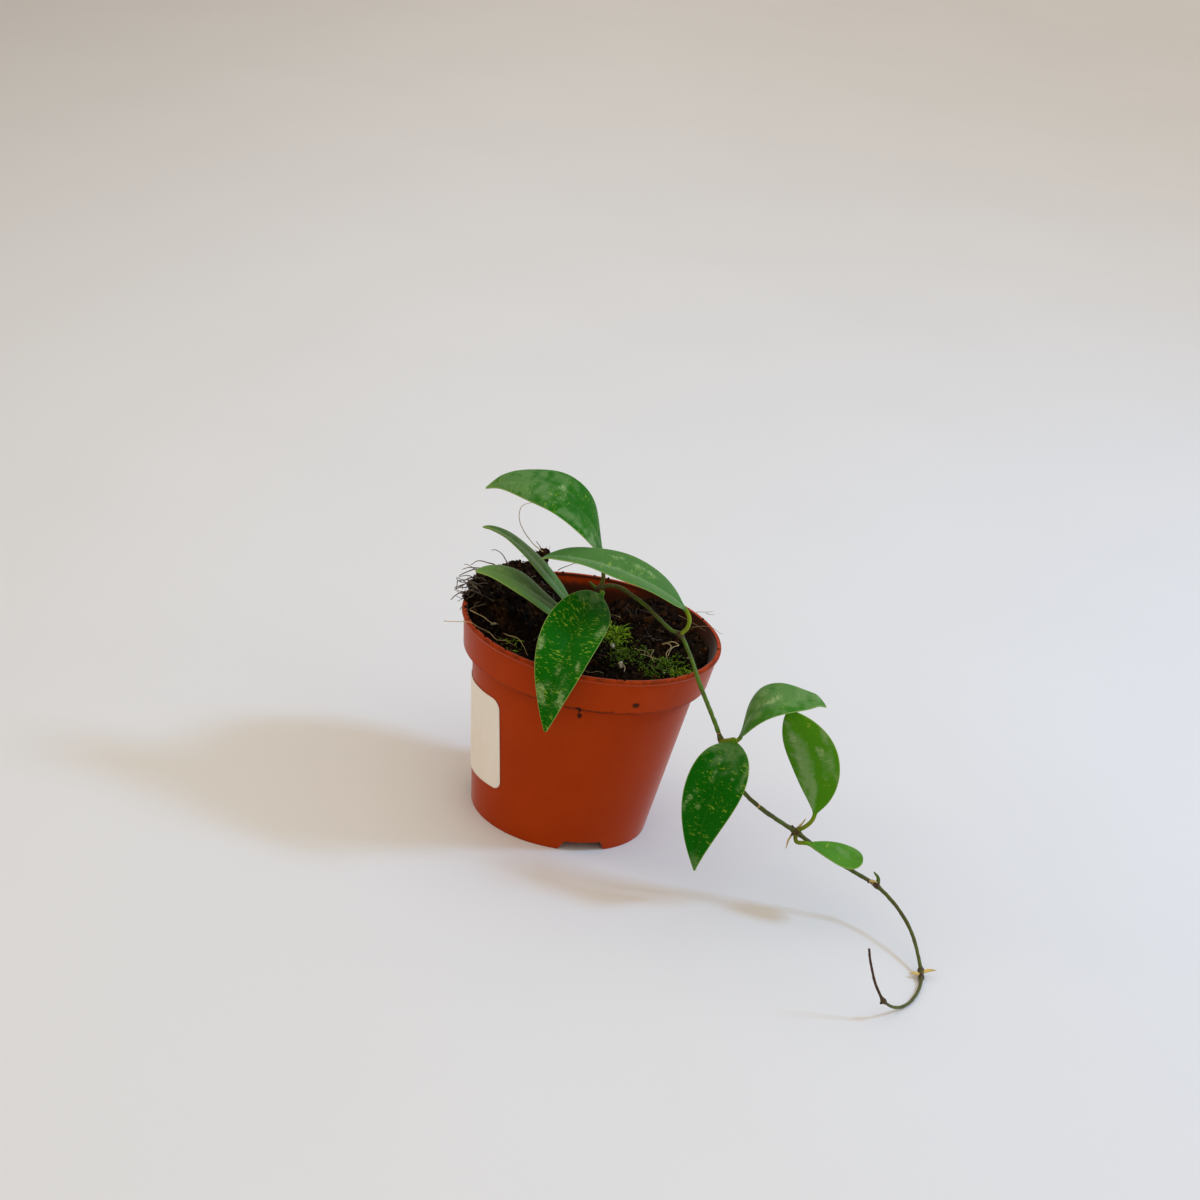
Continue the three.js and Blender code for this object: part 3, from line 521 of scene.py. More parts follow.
def new_piece(name, shape, material, slot, replaces=(), **values):
    """Makes a smooth mesh of points in mm and groups of faces, gives each point its named numbers, parents
    the piece to the body's empty, and hides the imported parts that it replaces."""
    points, faces = shape
    mesh = bpy.data.meshes.new(name)
    mesh.vertices.add(len(points))
    mesh.vertices.foreach_set("co", place(points).astype(np.float32).ravel())
    corners = np.concatenate([group.ravel() for group in faces]).astype(np.int32)
    sizes = np.concatenate([np.full(len(group), group.shape[1]) for group in faces])
    mesh.loops.add(len(corners))
    mesh.loops.foreach_set("vertex_index", corners)
    mesh.polygons.add(len(sizes))
    mesh.polygons.foreach_set("loop_start", (np.cumsum(sizes) - sizes).astype(np.int32))
    mesh.polygons.foreach_set("use_smooth", np.ones(len(sizes), bool))
    for title, numbers in values.items():
        numbers = np.asarray(numbers, np.float32)
        kind, key = ("FLOAT", "value") if numbers.ndim == 1 else ("FLOAT_VECTOR", "vector")
        mesh.attributes.new(title, kind, "POINT").data.foreach_set(key, numbers.ravel())
    mesh.update(calc_edges=True)
    if mesh.validate():
        raise RuntimeError(f"{name} has faces that Blender had to mend")
    mesh.materials.append(material)
    piece = bpy.data.objects.new(name, mesh)
    bpy.context.scene.collection.objects.link(piece)
    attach(piece, BODY)
    if replaces:
        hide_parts(*replaces)
    return piece


# Materials


def add_node(tree, kind, inputs=None, **settings):
    """Adds a node with its settings. inputs gives its sockets, by name or number, a value or a link."""
    node = tree.nodes.new(kind)
    for name, value in settings.items():
        setattr(node, name, value)
    for key, value in (inputs or {}).items():
        if isinstance(value, bpy.types.NodeSocket):
            tree.links.new(value, node.inputs[key])
        else:
            node.inputs[key].default_value = value
    return node


def new_material(name):
    """An empty material and its tree."""
    material = bpy.data.materials.new(name)
    material.use_nodes = True
    material.node_tree.nodes.clear()
    return material, material.node_tree


def finish_material(tree, **sockets):
    """Ends a tree in a Principled shader. Sockets are given with underscores for spaces."""
    inputs = {name.replace("_", " "): value for name, value in sockets.items()}
    shader = add_node(tree, "ShaderNodeBsdfPrincipled", inputs)
    add_node(tree, "ShaderNodeOutputMaterial", {"Surface": shader.outputs[0]})


def on_piece(tree):
    """The place on the piece, in metres."""
    return add_node(tree, "ShaderNodeTexCoord").outputs["Object"]


def stored(tree, name, output="Fac"):
    """The numbers of that name that new_piece() gave the points."""
    return add_node(tree, "ShaderNodeAttribute", attribute_name=name).outputs[output]


def axes(tree, vector):
    return add_node(tree, "ShaderNodeSeparateXYZ", {0: vector}).outputs


def stretched(tree, where, scale):
    return add_node(tree, "ShaderNodeMapping", {"Vector": where, "Scale": scale}).outputs[0]


def blend(tree, share, a, b):
    """Colour a going over to colour b by share."""
    return add_node(tree, "ShaderNodeMix", {0: share, 6: a, 7: b}, data_type="RGBA").outputs[2]


def step_up(tree, value, low, high, to=1.0):
    """0 up to low, then a smooth rise, and to from high on."""
    inputs = {"Value": value, "From Min": low, "From Max": high, "To Max": to}
    return add_node(tree, "ShaderNodeMapRange", inputs, interpolation_type="SMOOTHSTEP").outputs[0]


def calculate(tree, operation, a, b=0.0):
    return add_node(tree, "ShaderNodeMath", {0: a, 1: b}, operation=operation).outputs[0]


def plus(tree, a, b):
    return calculate(tree, "ADD", a, b)


def times(tree, a, b):
    return calculate(tree, "MULTIPLY", a, b)


def centred(tree, value):
    """A value about a half, moved to lie about nought."""
    return calculate(tree, "SUBTRACT", value, 0.5)


def per_mm(size):
    """Texture scale at which a pattern on Object coordinates, in metres, repeats about every size mm."""
    return 1 / (size * MM)


def grain(tree, where, scale, detail=2.0, rough=0.5):
    """Cloudy pattern, 0 to 1."""
    inputs = {"Vector": where, "Scale": scale, "Detail": detail, "Roughness": rough}
    return add_node(tree, "ShaderNodeTexNoise", inputs).outputs["Fac"]


def bumps(tree, height, millimetres):
    """Normals of a relief that is so many mm deep where height goes from 0 to 1."""
    return add_node(tree, "ShaderNodeBump", {"Height": height, "Distance": millimetres * MM}).outputs[0]


def moulded_polypropylene(look):
    """Injection-moulded polypropylene with an iron-oxide colour: an even, slightly see-into satin skin
    with a broad soft highlight, pale scuffs, a film of peat where water has splashed, and the same dark
    colour painted as shade inside the pot and under the collar."""
    material, tree = new_material("terracotta_polypropylene")
    where = on_piece(tree)
    film, worn = stored(tree, "peat_film_and_shade"), stored(tree, "scuffs")
    clouds = grain(tree, where, per_mm(22), 3)
    base = blend(tree, step_up(tree, clouds, 0.35, 0.7, 0.5), look.plastic, look.faded)
    # Scuffs: streaks 2 mm long and a third as high, pale where the skin is scraped
    streaks = grain(tree, stretched(tree, where, (1, 1, 3)), per_mm(2.2), 4, 0.7)
    base = blend(tree, times(tree, step_up(tree, streaks, 0.62, 0.8, 0.35), worn), base, look.scuff)
    # Peat film and painted shade: broken up by clouds of 3.5 mm and the finer grit in them
    patchy = plus(tree, grain(tree, where, per_mm(3.5), 5, 0.7), centred(tree, film))
    base = blend(tree, times(tree, step_up(tree, patchy, 0.42, 0.78), film), base, look.film)
    rough = plus(tree, step_up(tree, clouds, 0.2, 0.8, 0.12), 0.4)
    rough = plus(tree, rough, times(tree, film, 0.3))
    # Spark-eroded mould grain, 0.5 mm across and a few hundredths deep
    skin = bumps(tree, grain(tree, where, per_mm(0.5), 2), 0.03)
    shine = dict(IOR=1.49, Specular_IOR_Level=0.04, **SATIN)
    finish_material(tree, Base_Color=base, Roughness=rough, Normal=skin, **shine)
    return material


def label_film(look):
    """Matt-coated polypropylene label, printed on nothing: clean warm white, flat and a little silky."""
    material, tree = new_material("matt_label_film")
    where = on_piece(tree)
    clouds = grain(tree, where, per_mm(9), 3)
    base = blend(tree, step_up(tree, clouds, 0.3, 0.8, 0.5), look.film, look.film_shade)
    skin = bumps(tree, grain(tree, where, per_mm(0.4), 2), 0.01)
    finish_material(tree, Base_Color=base, Roughness=0.5, IOR=1.5, Normal=skin)
    return material


def milled_peat(look):
    """Damp milled peat: nearly black matt crumbs, with lighter brown dry ones and specks of bark."""
    material, tree = new_material("milled_peat")
    where = on_piece(tree)
    lumps = grain(tree, where, per_mm(3), 6, 0.75)
    base = blend(tree, step_up(tree, lumps, 0.4, 0.68), look.peat, look.crumb)
    base = blend(tree, stored(tree, "dryness"), base, look.dry)
    specks = step_up(tree, grain(tree, where, per_mm(1.1), 3, 0.8), 0.66, 0.74, 0.6)
    base = blend(tree, specks, base, look.bark)
    relief = bumps(tree, grain(tree, where, per_mm(0.9), 5, 0.8), 0.5)
    finish_material(tree, Base_Color=base, Roughness=0.9, Specular_IOR_Level=0.06, Normal=relief)
    return material


def dry_grass(look):
    """Dry root and grass fibres: straw coloured, a little glossy, dark where peat clings to them."""
    material, tree = new_material("dry_fibre")
    where = on_piece(tree)
    patch = step_up(tree, grain(tree, where, per_mm(4), 2), 0.35, 0.65, 0.4)
    base = blend(tree, stored(tree, "paleness"), look.root, look.straw)
    finish_material(tree, Base_Color=blend(tree, patch, base, look.peat), Roughness=0.6)
    return material


def living_moss(look):
    """Living moss: strands of leaves under a millimetre, yellow green at the tips and dark below."""
    material, tree = new_material("living_moss")
    base = blend(tree, stored(tree, "freshness"), look.moss_shade, look.moss)
    finish_material(tree, Base_Color=base, Roughness=0.7, Specular_IOR_Level=0.1)
    return material


def pumice_grit(look):
    """Crushed pumice: off-white, matt and full of pores."""
    material, tree = new_material("pumice_grit")
    where = on_piece(tree)
    pores = grain(tree, where, per_mm(0.8), 4, 0.7)
    base = blend(tree, step_up(tree, pores, 0.35, 0.6), look.peat, look.grit)
    finish_material(tree, Base_Color=base, Roughness=0.9, Normal=bumps(tree, pores, 0.3))
    return material


def green_bark(look):
    """Young hoya shoot: a smooth green skin that browns with age and reddens where sun reaches it,
    with raised pores like pin pricks and faint lengthwise lines."""
    material, tree = new_material("young_shoot_skin")
    where = on_piece(tree)
    brown = stored(tree, "brownness")
    uneven = plus(tree, brown, centred(tree, grain(tree, where, per_mm(5), 3)))
    base = blend(tree, step_up(tree, uneven, 0.0, 0.55), look.fresh, look.olive)
    base = blend(tree, step_up(tree, uneven, 0.55, 1.05), base, look.brown)
    base = blend(tree, step_up(tree, brown, 1.1, 2.0), base, look.husk)
    # Pores: pale specks 0.3 mm across, and lines that follow the shoot
    pores = step_up(tree, grain(tree, where, per_mm(0.9), 2, 0.6), 0.64, 0.72, 0.45)
    base = blend(tree, pores, base, look.pore)
    lines = stretched(tree, stored(tree, "shoot_place", "Vector"), (1.6, 1.6, 0.06))
    skin = bumps(tree, grain(tree, lines, 1.0, 3), 0.12)
    finish_material(tree, Base_Color=base, Roughness=0.45, Specular_IOR_Level=0.2, Normal=skin)
    return material


def first_leaf_skin(look):
    """Unfolding leaves: soft, pale and yellow, mottled like the dry husk beside them."""
    material, tree = new_material("first_leaf_skin")
    where = on_piece(tree)
    mottle = step_up(tree, grain(tree, where, per_mm(2), 2), 0.3, 0.7)
    base = blend(tree, mottle, look.leaflet, look.husk)
    finish_material(tree, Base_Color=base, Roughness=0.5, Specular_IOR_Level=0.2)
    return material


def waxy_leaf(look):
    """Hoya leaf under its wax cuticle: thick, smooth and stiff. It gives the eye a deep green, a painted
    grey sheen where light reflects off it aslant, silver-green flecks drawn out across it where air lies
    under the skin, frosted streaks with painted highlights among them, a thin pale rim, and a midrib that
    shows as a shallow channel. Its patterns lie on leaf_place, in mm."""
    material, tree = new_material("waxy_hoya_leaf")
    on_leaf = stored(tree, "leaf_place", "Vector")
    across, along, _ = axes(tree, on_leaf)
    tone, flecked, underside = axes(tree, stored(tree, "leaf_look", "Vector"))
    # Ground colour: tone per leaf, moved a little by 14 mm clouds
    clouds = grain(tree, on_leaf, 1 / 14, 2)
    tone = plus(tree, tone, times(tree, centred(tree, clouds), 0.5))
    base = blend(tree, step_up(tree, tone, 0.0, 1.0), look.deep, look.light)
    # Midrib: a line half a millimetre wide, hardly lighter
    spine = step_up(tree, calculate(tree, "ABSOLUTE", across), 0.5, 0.1, 0.1)
    base = blend(tree, spine, base, look.rib)
    # Flecks: drawn out across the leaf, small ones under 1 mm and larger ones of 2 mm, in 7 mm clouds
    drawn = stretched(tree, on_leaf, (0.6, 1.5, 1.0))
    patches = times(tree, centred(tree, grain(tree, on_leaf, 1 / 7, 2, 0.6)), 0.3)
    plenty = plus(tree, times(tree, flecked, 0.1), patches)
    small = flecks(tree, drawn, 0.95, plenty)
    large = flecks(tree, drawn, 2.3, calculate(tree, "SUBTRACT", plenty, 0.02))
    fleck = times(tree, calculate(tree, "MAXIMUM", small, large), 0.8)
    base = blend(tree, fleck, base, look.fleck)
    # Pale patches: a painted sheen of reflected light, and streaks of frost and painted highlight that crowd
    # together and run into each other
    base = blend(tree, step_up(tree, stored(tree, "painted_sheen"), 0.0, 1.1, 0.68), base, look.painted_sheen)
    crowded = step_up(tree, stored(tree, "frost_and_highlight"), 0.1, 1.0, 0.33)
    broken = plus(tree, crowded, grain(tree, stretched(tree, on_leaf, (0.45, 1.5, 1.0)), 1 / 1.1, 4, 0.75))
    base = blend(tree, step_up(tree, broken, 0.7, 0.95, 0.6), base, look.frost_and_highlight)
    # Rim: the last 0.4 mm is paler
    base = blend(tree, step_up(tree, stored(tree, "rim_distance"), 0.5, 0.1, 0.6), base, look.rim)
    # Underside and stalk
    base = blend(tree, times(tree, underside, 0.75), base, look.underside)
    base = blend(tree, step_up(tree, along, 3.0, -3.0, 0.9), base, look.stalk)
    base = blend(tree, stored(tree, "browning"), base, look.old_stalk)
    rough = plus(tree, step_up(tree, clouds, 0.3, 0.7, 0.1), look.gloss)
    # Skin: blisters 2 mm across over the tissue between the veins
    relief = plus(tree, grain(tree, drawn, 1 / 2.2, 4, 0.65), times(tree, fleck, 0.15))
    wax = dict(IOR=1.48, Specular_IOR_Level=0.05, Sheen_Tint=look.bloom, **SATIN)
    finish_material(tree, Base_Color=base, Roughness=rough, Normal=bumps(tree, relief, 0.22), **wax)
    return material


def flecks(tree, where, size, plenty):
    """Ragged flecks about size mm apart: the crests of cloudy relief over 0.7, and more of them as
    plenty rises."""
    return step_up(tree, plus(tree, grain(tree, where, 1 / size, 3, 0.6), plenty), 0.68, 0.76)


def painted_board(look):
    """Matt white board: flat and pale, with no gloss to mirror the pot, and painted darker to the left as
    painted shade.
    """
    material, tree = new_material("matt_white_board")
    where = on_piece(tree)
    base = blend(tree, grain(tree, where, per_mm(160), 2), look.board, look.board_shade)
    # Painted shade: the board goes darker to the left
    left_shade = step_up(tree, axes(tree, where)["X"], -0.1, -0.9, 0.6)
    base = blend(tree, left_shade, base, look.board_left_shade)
    finish_material(tree, Base_Color=base, Roughness=0.8, Specular_IOR_Level=0.2)
    return material


# Sizes and colours that a user may change


class HoyaPot(bpy.types.PropertyGroup):
    height: length("Height", "From the foot to the top of the lip", 83.1)
    wall: length("Wall", "Thickness of the wall", 1.3)
    foot_radius: length("Foot radius", "Outer radius where the pot stands", 36.2)
    shoulder_radius: length("Shoulder radius", "Radius of the tapered body under the collar", 46)
    shoulder_height: length("Shoulder height", "Height of the collar's lower edge", 68)
    collar_radius: length("Collar radius", "Radius of the collar at its lower edge", 49.7)
    lip_radius: length("Lip radius", "Outer radius of the rolled lip", 52.5)
    floor_height: length("Floor height", "Height of the floor's underside over the table", 4.05)
    notch_height: length("Notch height", "Height of the drainage notches in the foot", 3.9)
    notch_top: length("Notch top", "Width of a notch at its top", 15.5)
    notch_foot: length("Notch foot", "Width of a notch at the table", 19.5)
    hole_radius: length("Hole radius", "Radius of the drain holes", 3.5)
    hole_ring: length("Hole ring", "Distance of the drain holes from the pot's axis", 25)
    plastic: paint("Plastic", "Moulded colour", "A43505")
    faded: paint("Faded plastic", "Colour where it has bleached", "AE3D09")
    scuff: paint("Scuffs", "Colour of scraped places", "C98A6A")
    # This colour also paints shade inside the pot and under the collar
    film: paint("Peat film", "Colour of dried splashes and dirt", "2E1C10")


class HoyaLabel(bpy.types.PropertyGroup):
    width: length("Width", "Width round the pot", 50)
    height: length("Height", "Height up the pot", 39.5)
    corner: length("Corner radius", "Radius of the corners", 4)
    thickness: length("Thickness", "Thickness of the label with its glue", 0.32)
    middle_height: length("Middle height", "Height of its middle over the table", 35.5)
    tilt: amount("Tilt", "How far it sits askew", np.radians(5), subtype="ANGLE")
    right_edge: amount("Right edge", "Bearing of its right edge from +X", np.radians(-130), subtype="ANGLE")
    film: paint("Film", "Colour of the coated film", "F2E8DA")
    film_shade: paint("Film, greyer", "Colour where it has yellowed", "E8DCCC")


class HoyaSoil(bpy.types.PropertyGroup):
    level: length("Level", "Height of the peat between its heaps", 76.5)
    crumb_height: length("Crumb height", "Height of the waves the size of a crumb", 1.3)
    crumbs: IntProperty(name="Crumbs", description="Number of loose crumbs", default=2600, min=0)
    fibres: IntProperty(name="Fibres", description="Number of rootlets and fibres", default=300, min=0)
    peat: paint("Damp peat", "Colour of the damp peat", "0C0703")
    crumb: paint("Crumbs", "Colour of the lighter crumbs", "1E1208")
    dry: paint("Dry crumbs", "Colour of dry crumbs", "4A2C14")
    bark: paint("Bark", "Colour of the specks of bark", "7A5228")
    root: paint("Rootlets", "Colour of the rootlets", "352210")
    straw: paint("Straw", "Colour of dry grass", "C7AE74")
    grit: paint("Grit", "Colour of the pumice", "D9CDB8")
    moss: paint("Moss tips", "Colour of growing moss", "8DB116")
    moss_shade: paint("Moss below", "Colour of shaded moss", "2C4208")


class HoyaShoots(bpy.types.PropertyGroup):
    thickness: amount("Thickness", "Times the measured thickness", 1, min=0.5, max=2)
    fresh: paint("Fresh skin", "Colour of green shoots", "54761A")
    olive: paint("Ageing skin", "Colour of older shoots", "4E5120")
    brown: paint("Brown skin", "Colour of the oldest parts and of the hook", "472A1E")
    husk: paint("Husks", "Colour of dry scales and rootlets", "C0A668")
    pore: paint("Pores", "Colour of the raised pores", "8C8850")
    leaflet: paint("Leaflets", "Colour of the first pale leaves", "E0BE66")


class HoyaLeaves(bpy.types.PropertyGroup):
    rib_thickness: length("Thickness at the rib", "Thickness of a blade at its midrib", 1.0)
    rim_thickness: length("Thickness at the rim", "Thickness of a blade near its edge", 0.7)
    channel: length("Channel", "Depth of the channel over the midrib", 0.16)
    stalk_radius: length("Stalk radius", "Radius of a leaf stalk", 0.82)
    gloss: amount("Roughness", "Roughness of the wax", 0.5, min=0, max=1)
    deep: paint("Deep green", "Colour of the darkest leaves", "0B5E00")
    light: paint("Light green", "Colour of the lightest leaves", "4A8A0C")
    rib: paint("Midrib", "Colour of the midrib line", "5E8F30")
    fleck: paint("Flecks", "Colour of the silvery flecks", "86A62E")
    # Painted sheen: the grey of light reflected aslant, painted into the colour
    painted_sheen: paint("Haze", "Colour of the hazy bloom", "82A268")
    # Frost on the leaf, and the painted highlights among it
    frost_and_highlight: paint("Frost", "Colour of the frosted patches", "9EB872")
    rim: paint("Rim", "Colour of the thin edge", "9DB25A")
    underside: paint("Underside", "Colour of the lower face", "5C8A45")
    stalk: paint("Stalk", "Colour of the leaf stalks", "8A9A22")
    old_stalk: paint("Old stalk", "Colour of a stalk that browns", "4C481C")
    bloom: paint("Bloom", "Colour of the grey bloom seen aslant", "E6FFDE")


class HoyaStage(bpy.types.PropertyGroup):
    board: paint("Board", "Colour of the floor and backdrop", "E2E1DF")
    board_shade: paint("Board, greyer", "Colour of its faint clouds", "DDDCDA")
    # Painted shade on the left of the board
    board_left_shade: paint("Board on the left", "Colour it goes over to on the left", "ABA59C")
    key: paint("Key light", "Colour of the soft light on the right", "9CCCFF")
    side: paint("Side light", "Colour of the weak light on the left", "FFF4D2")
    sky: paint("Fill light", "Colour of the light from all round", "FEF4E8")
    key_power: amount("Key power", "Power of the light on the right", 10, min=0, unit="POWER")
    side_power: amount("Side power", "Power of the side light", 1.5, min=0, unit="POWER")
    fill: amount("Fill", "Strength of the light from all round", 0.83, min=0)


# Pieces


def body_radius(pot, height):
    """Outer radius of the pot's tapered body at a height."""
    return mix(pot.foot_radius, pot.shoulder_radius, height / pot.shoulder_height)


def rounded_profile(corners, steps=6, longest=1.5, least=0.01):
    """A polyline with round corners, from rows of radius, height and rounding: each corner becomes the
    parabola that touches its two sides at its rounding from it. Longer straights are cut, and points that
    lie together become one."""
    p, r = np.hsplit(np.asarray(corners, float), [2])
    before, after = np.vstack([p[:1], p[:-1]]), np.vstack([p[1:], p[-1:]])
    start, end = p - r * unit(p - before), p + r * unit(after - p)
    t = np.linspace(0, 1, steps)[None, :, None]
    line = (1 - t) ** 2 * start[:, None] + 2 * t * (1 - t) * p[:, None] + t**2 * end[:, None]
    line = line.reshape(-1, 2)
    line = line[np.append(True, np.linalg.norm(np.diff(line, axis=0), axis=1) > least)]
    way = way_along(line)
    cuts = np.arange(longest, way[-1], longest)
    near = np.abs(cuts[:, None] - way).min(1) < longest / 3
    return sample(line, way, np.sort(np.concatenate([way, cuts[~near]])))


class HOYA_OT_pot(bpy.types.Operator):
    """Moulds the pot: its profile of radius and height is carried round the axis. Three notches lift the
    foot, and six sectors of floor, each a grid from its own outline to its drain hole, close it below"""

    bl_idname = "hoya.pot"
    bl_label = "Pot"

    def execute(self, context):
        look = context.scene.hoya_pot
        size = in_mm(look)
        foot, shoulder, step, top = size.foot_radius, size.shoulder_radius, size.shoulder_height, size.height
        collar, lip, wall, under = size.collar_radius, size.lip_radius, size.wall, size.floor_height
        floor_edge, ring_inside, floor_top = foot - 2.1, foot - 1.5, under + 1.0
        # Corners: radius, height and rounding. Four of them cut the body where painted shade lies under the
        # collar.
        corners = [
            (floor_edge, under, 0), (ring_inside, under, 0.2), (ring_inside, 0, 0.3), (foot, 0, 0.3),
            *[(body_radius(size, z), z, 0) for z in (step - 3, step - 2.5, step - 2, step - 1.4)],
            (shoulder - 0.1, step - 0.7, 0.5), (shoulder + 0.2, step, 0.1), (collar, step, 0.3),
            (lip - 0.9, top - 2.1, 0.5), (lip, top - 1.5, 0.4), (lip, top, 0.75),
            (lip - LIP_WIDTH, top, 0.6), (lip - LIP_WIDTH, top - LIP_DEPTH, 0.3),
            (collar - wall, step + LEDGE_ABOVE, 0.6), (shoulder - wall, step - LEDGE_BELOW, 0.8),
            (foot - wall + 0.6, floor_top, 0.3), (floor_edge, floor_top, 0),
        ]
        profile = rounded_profile(corners)
        columns, sectors = 432, 6
        turn = round_steps(columns)
        row = np.arange(len(profile))[:, None]
        r, z = profile[:, None, 0] + 0 * turn, profile[:, None, 1] + 0 * turn
        lip_row = np.argmax(profile[:, 1])
        # Notches: the foot is lifted by a trapezium wave, fading out up the wall
        third, first_notch, fade = FULL_TURN / 3, np.radians(-70), 9.0
        off = np.abs((turn - first_notch + third / 2) % third - third / 2) * foot
        half_top, half_foot = size.notch_top / 2, size.notch_foot / 2
        lift = size.notch_height * np.clip((half_foot - off) / (half_foot - half_top), 0, 1)
        outside = row > np.argmax((profile[:, 1] < 0.01) & (profile[:, 0] > foot - 0.9))
        reach = np.where(outside, fade, under)
        low = (z < reach) & (row < lip_row)
        lifted = np.where(low, z + lift * (1 - z / reach), z)
        r = r + np.where(outside & low, (shoulder - foot) / step * (lifted - z), 0)
        wall_points = np.dstack([polar(r, turn), lifted]).reshape(-1, 3)
        parts = [(wall_points, [grid_faces(len(profile), columns)])]
        half = FULL_TURN / sectors / 2
        for bearing in round_steps(sectors) + half:
            parts.append(self.sector(bearing, half, columns // sectors, floor_edge, floor_top, size))
        points, faces = join(parts)
        # Peat film and painted shade: dirt inside near the peat with painted shade above it, dirt on the
        # lip, painted shade under the collar and on its lower edge, darker over the lowest 3 mm, and dirt
        # marks
        radius, height, number = from_axis(points), points[:, 2], np.arange(len(points))
        inside = (number >= (lip_row + 7) * columns) & (number < len(wall_points)) & (height > floor_top + 1)
        outer = ~inside
        under_collar = outer & (radius < shoulder + 0.6) & (height < step + 0.2)
        film_and_shade = [
            # Inside: peat dirt low down, and above it painted shade that grows to the right
            inside * mix(0.12 + 0.8 * ease(points[:, 0] / 25), 0.95, ease((84 - height) / 7)),
            0.95 * ease(1 - np.abs(radius - (lip - 2)) / 0.9) * (height > top - 1.6),
            0.6 * ease((radius - lip + 1.2) / 0.6) * (height > top - 1.2) * outer,
            # Painted shade under the collar
            0.7 * ease((height - step + 2.8) / 0.7) * under_collar,
            # Painted shade along the collar's lower edge
            0.66 * ((radius > collar - 0.45) & (np.abs(height - step) < 0.35)),
            # Darker over the lowest 3 mm
            0.3 * ease(1 - height / 3),
        ]
        for middle, spread, strength in POT_MARKS:
            film_and_shade.append(strength * np.exp(-(((points - middle) / spread) ** 2).sum(1)) * outer)
        worn = 0.25 + 0.75 * ease((height - step + 2) / 4) + 0.4 * ease(1 - height / 8)
        values = dict(peat_film_and_shade=np.max(film_and_shade, 0), scuffs=np.clip(worn, 0, 1))
        material = moulded_polypropylene(look)
        pot = new_piece("moulded_pot", (points, faces), material, "pot_plastic", ["pot"], **values)
        weld(pot, 0.002)
        return {"FINISHED"}

    def sector(self, bearing, half, arc_steps, edge, top, size):
        """One sector of the floor, half an angle to each side of its bearing: rings shrink from its outline
        to the hole's rim, go down it, and grow back to the outline on the underside."""
        side_steps = 30
        out = np.linspace(0, edge, side_steps, endpoint=False)
        arc = np.linspace(-half, half, arc_steps, endpoint=False)
        back = np.linspace(edge, 0, side_steps, endpoint=False)
        outline = np.concatenate([polar(out, -half), polar(edge, arc), polar(back, half)])
        hole = np.array([size.hole_ring, 0])
        rim = hole + size.hole_radius * unit(outline - hole)
        inwards = [0, 0.15, 0.35, 0.55, 0.75, 0.95, 1]
        share = np.array(inwards + inwards[::-1])[:, None, None]
        under, bevel = size.floor_height, 0.1
        height = np.array([top] * 6 + [top - bevel, under + bevel] + [under] * 6)
        x, y = np.moveaxis(mix(outline[None], rim[None], share), -1, 0)
        cos, sin = np.cos(bearing), np.sin(bearing)
        rings = np.stack([x * cos - y * sin, x * sin + y * cos, height[:, None] + 0 * x], -1)
        return rings.reshape(-1, 3), [grid_faces(len(height), len(outline))]


def weld(piece, millimetres):
    """Joins points that lie together, so that the seams between grids are closed."""
    mesh = bmesh.new()
    mesh.from_mesh(piece.data)
    bmesh.ops.remove_doubles(mesh, verts=mesh.verts, dist=millimetres * MM)
    mesh.to_mesh(piece.data)
    mesh.free()


class HOYA_OT_label(bpy.types.Operator):
    """Sticks the bare label on: a rounded rectangle bent round the tapered wall. Its rings grow from the
    middle of the outer face to the edge, turn over it, and shrink again on the glued face"""

    bl_idname = "hoya.label"
    bl_label = "Label"

    def execute(self, context):
        look = context.scene.hoya_label
        size, pot = in_mm(look), in_mm(context.scene.hoya_pot)
        half_width, half_height, thick = size.width / 2, size.height / 2, size.thickness
        # Outline: four quarter circles at the corners of a smaller rectangle, then even steps along it
        turn = np.linspace(0, FULL_TURN, 96, endpoint=False).reshape(4, 24) + np.radians(1.9)
        inner = [half_width - size.corner, half_height - size.corner]
        middles = np.array([(1, 1), (-1, 1), (-1, -1), (1, -1)]) * inner
        line = (middles[:, None] + polar(size.corner, turn)).reshape(-1, 2)
        line = np.vstack([line, line[:1]])
        way = way_along(line)
        outline = sample(line, way, np.linspace(0, way[-1], 240, endpoint=False))
        grow = np.linspace(0.04, 0.94, 16)
        share = np.concatenate([grow, [0.985, 1, 1, 0.985], grow[::-1]])
        out = np.concatenate([np.full(16, thick), [thick - 0.02, thick - 0.1, 0.06, 0], np.zeros(16)])
        across, up = np.moveaxis(share[:, None, None] * outline, -1, 0)
        cos, sin = np.cos(look.tilt), np.sin(look.tilt)
        z = size.middle_height + up * cos + across * sin
        along = across * cos - up * sin
        middle_radius, glue_gap = body_radius(pot, size.middle_height), 0.12
        bearing = look.right_edge - half_width / middle_radius + along / middle_radius
        radius = body_radius(pot, z) + glue_gap + out[:, None]
        rings = np.dstack([polar(radius, bearing), z])[None, ::-1]
        new_piece("bare_label", shells(rings), label_film(look), "label_film", ["label"])
        return {"FINISHED"}


def heap_height(points, size):
    """Height of the peat: its level, bell-shaped heaps, and the waves of crumbs that the solid has."""
    x, y = points[..., 0], points[..., 1]
    bells = sum(rise * np.exp(-((x - a) ** 2 + (y - b) ** 2) / (2 * s * s)) for (a, b), s, rise in HEAPS)
    crumb = 0.55 * np.sin(0.43 * x + 0.9) * np.cos(0.37 * y - 0.4)
    crumb = crumb + 0.45 * np.sin(0.82 * x + 0.6 * y + 2) * np.cos(0.5 * x - 0.9 * y)
    return size.level + bells + size.crumb_height * crumb


def crumbly(points, seed):
    """Relief of packed crumbs: sums of folded waves, 9, 4 and 2 mm across, with a crease between lumps."""
    sizes = [(9, 1.0), (4.2, 0.75), (2.1, 0.45)]
    folds = [np.abs(ripple(points, across, seed + i)) - 0.7 for i, (across, _) in enumerate(sizes)]
    return sum(high * fold for (_, high), fold in zip(sizes, folds))


def peat_height(flat, size):
    """Height of the peat with its packed crumbs, at places of the plane."""
    return heap_height(flat, size) + crumbly(flat, 11)


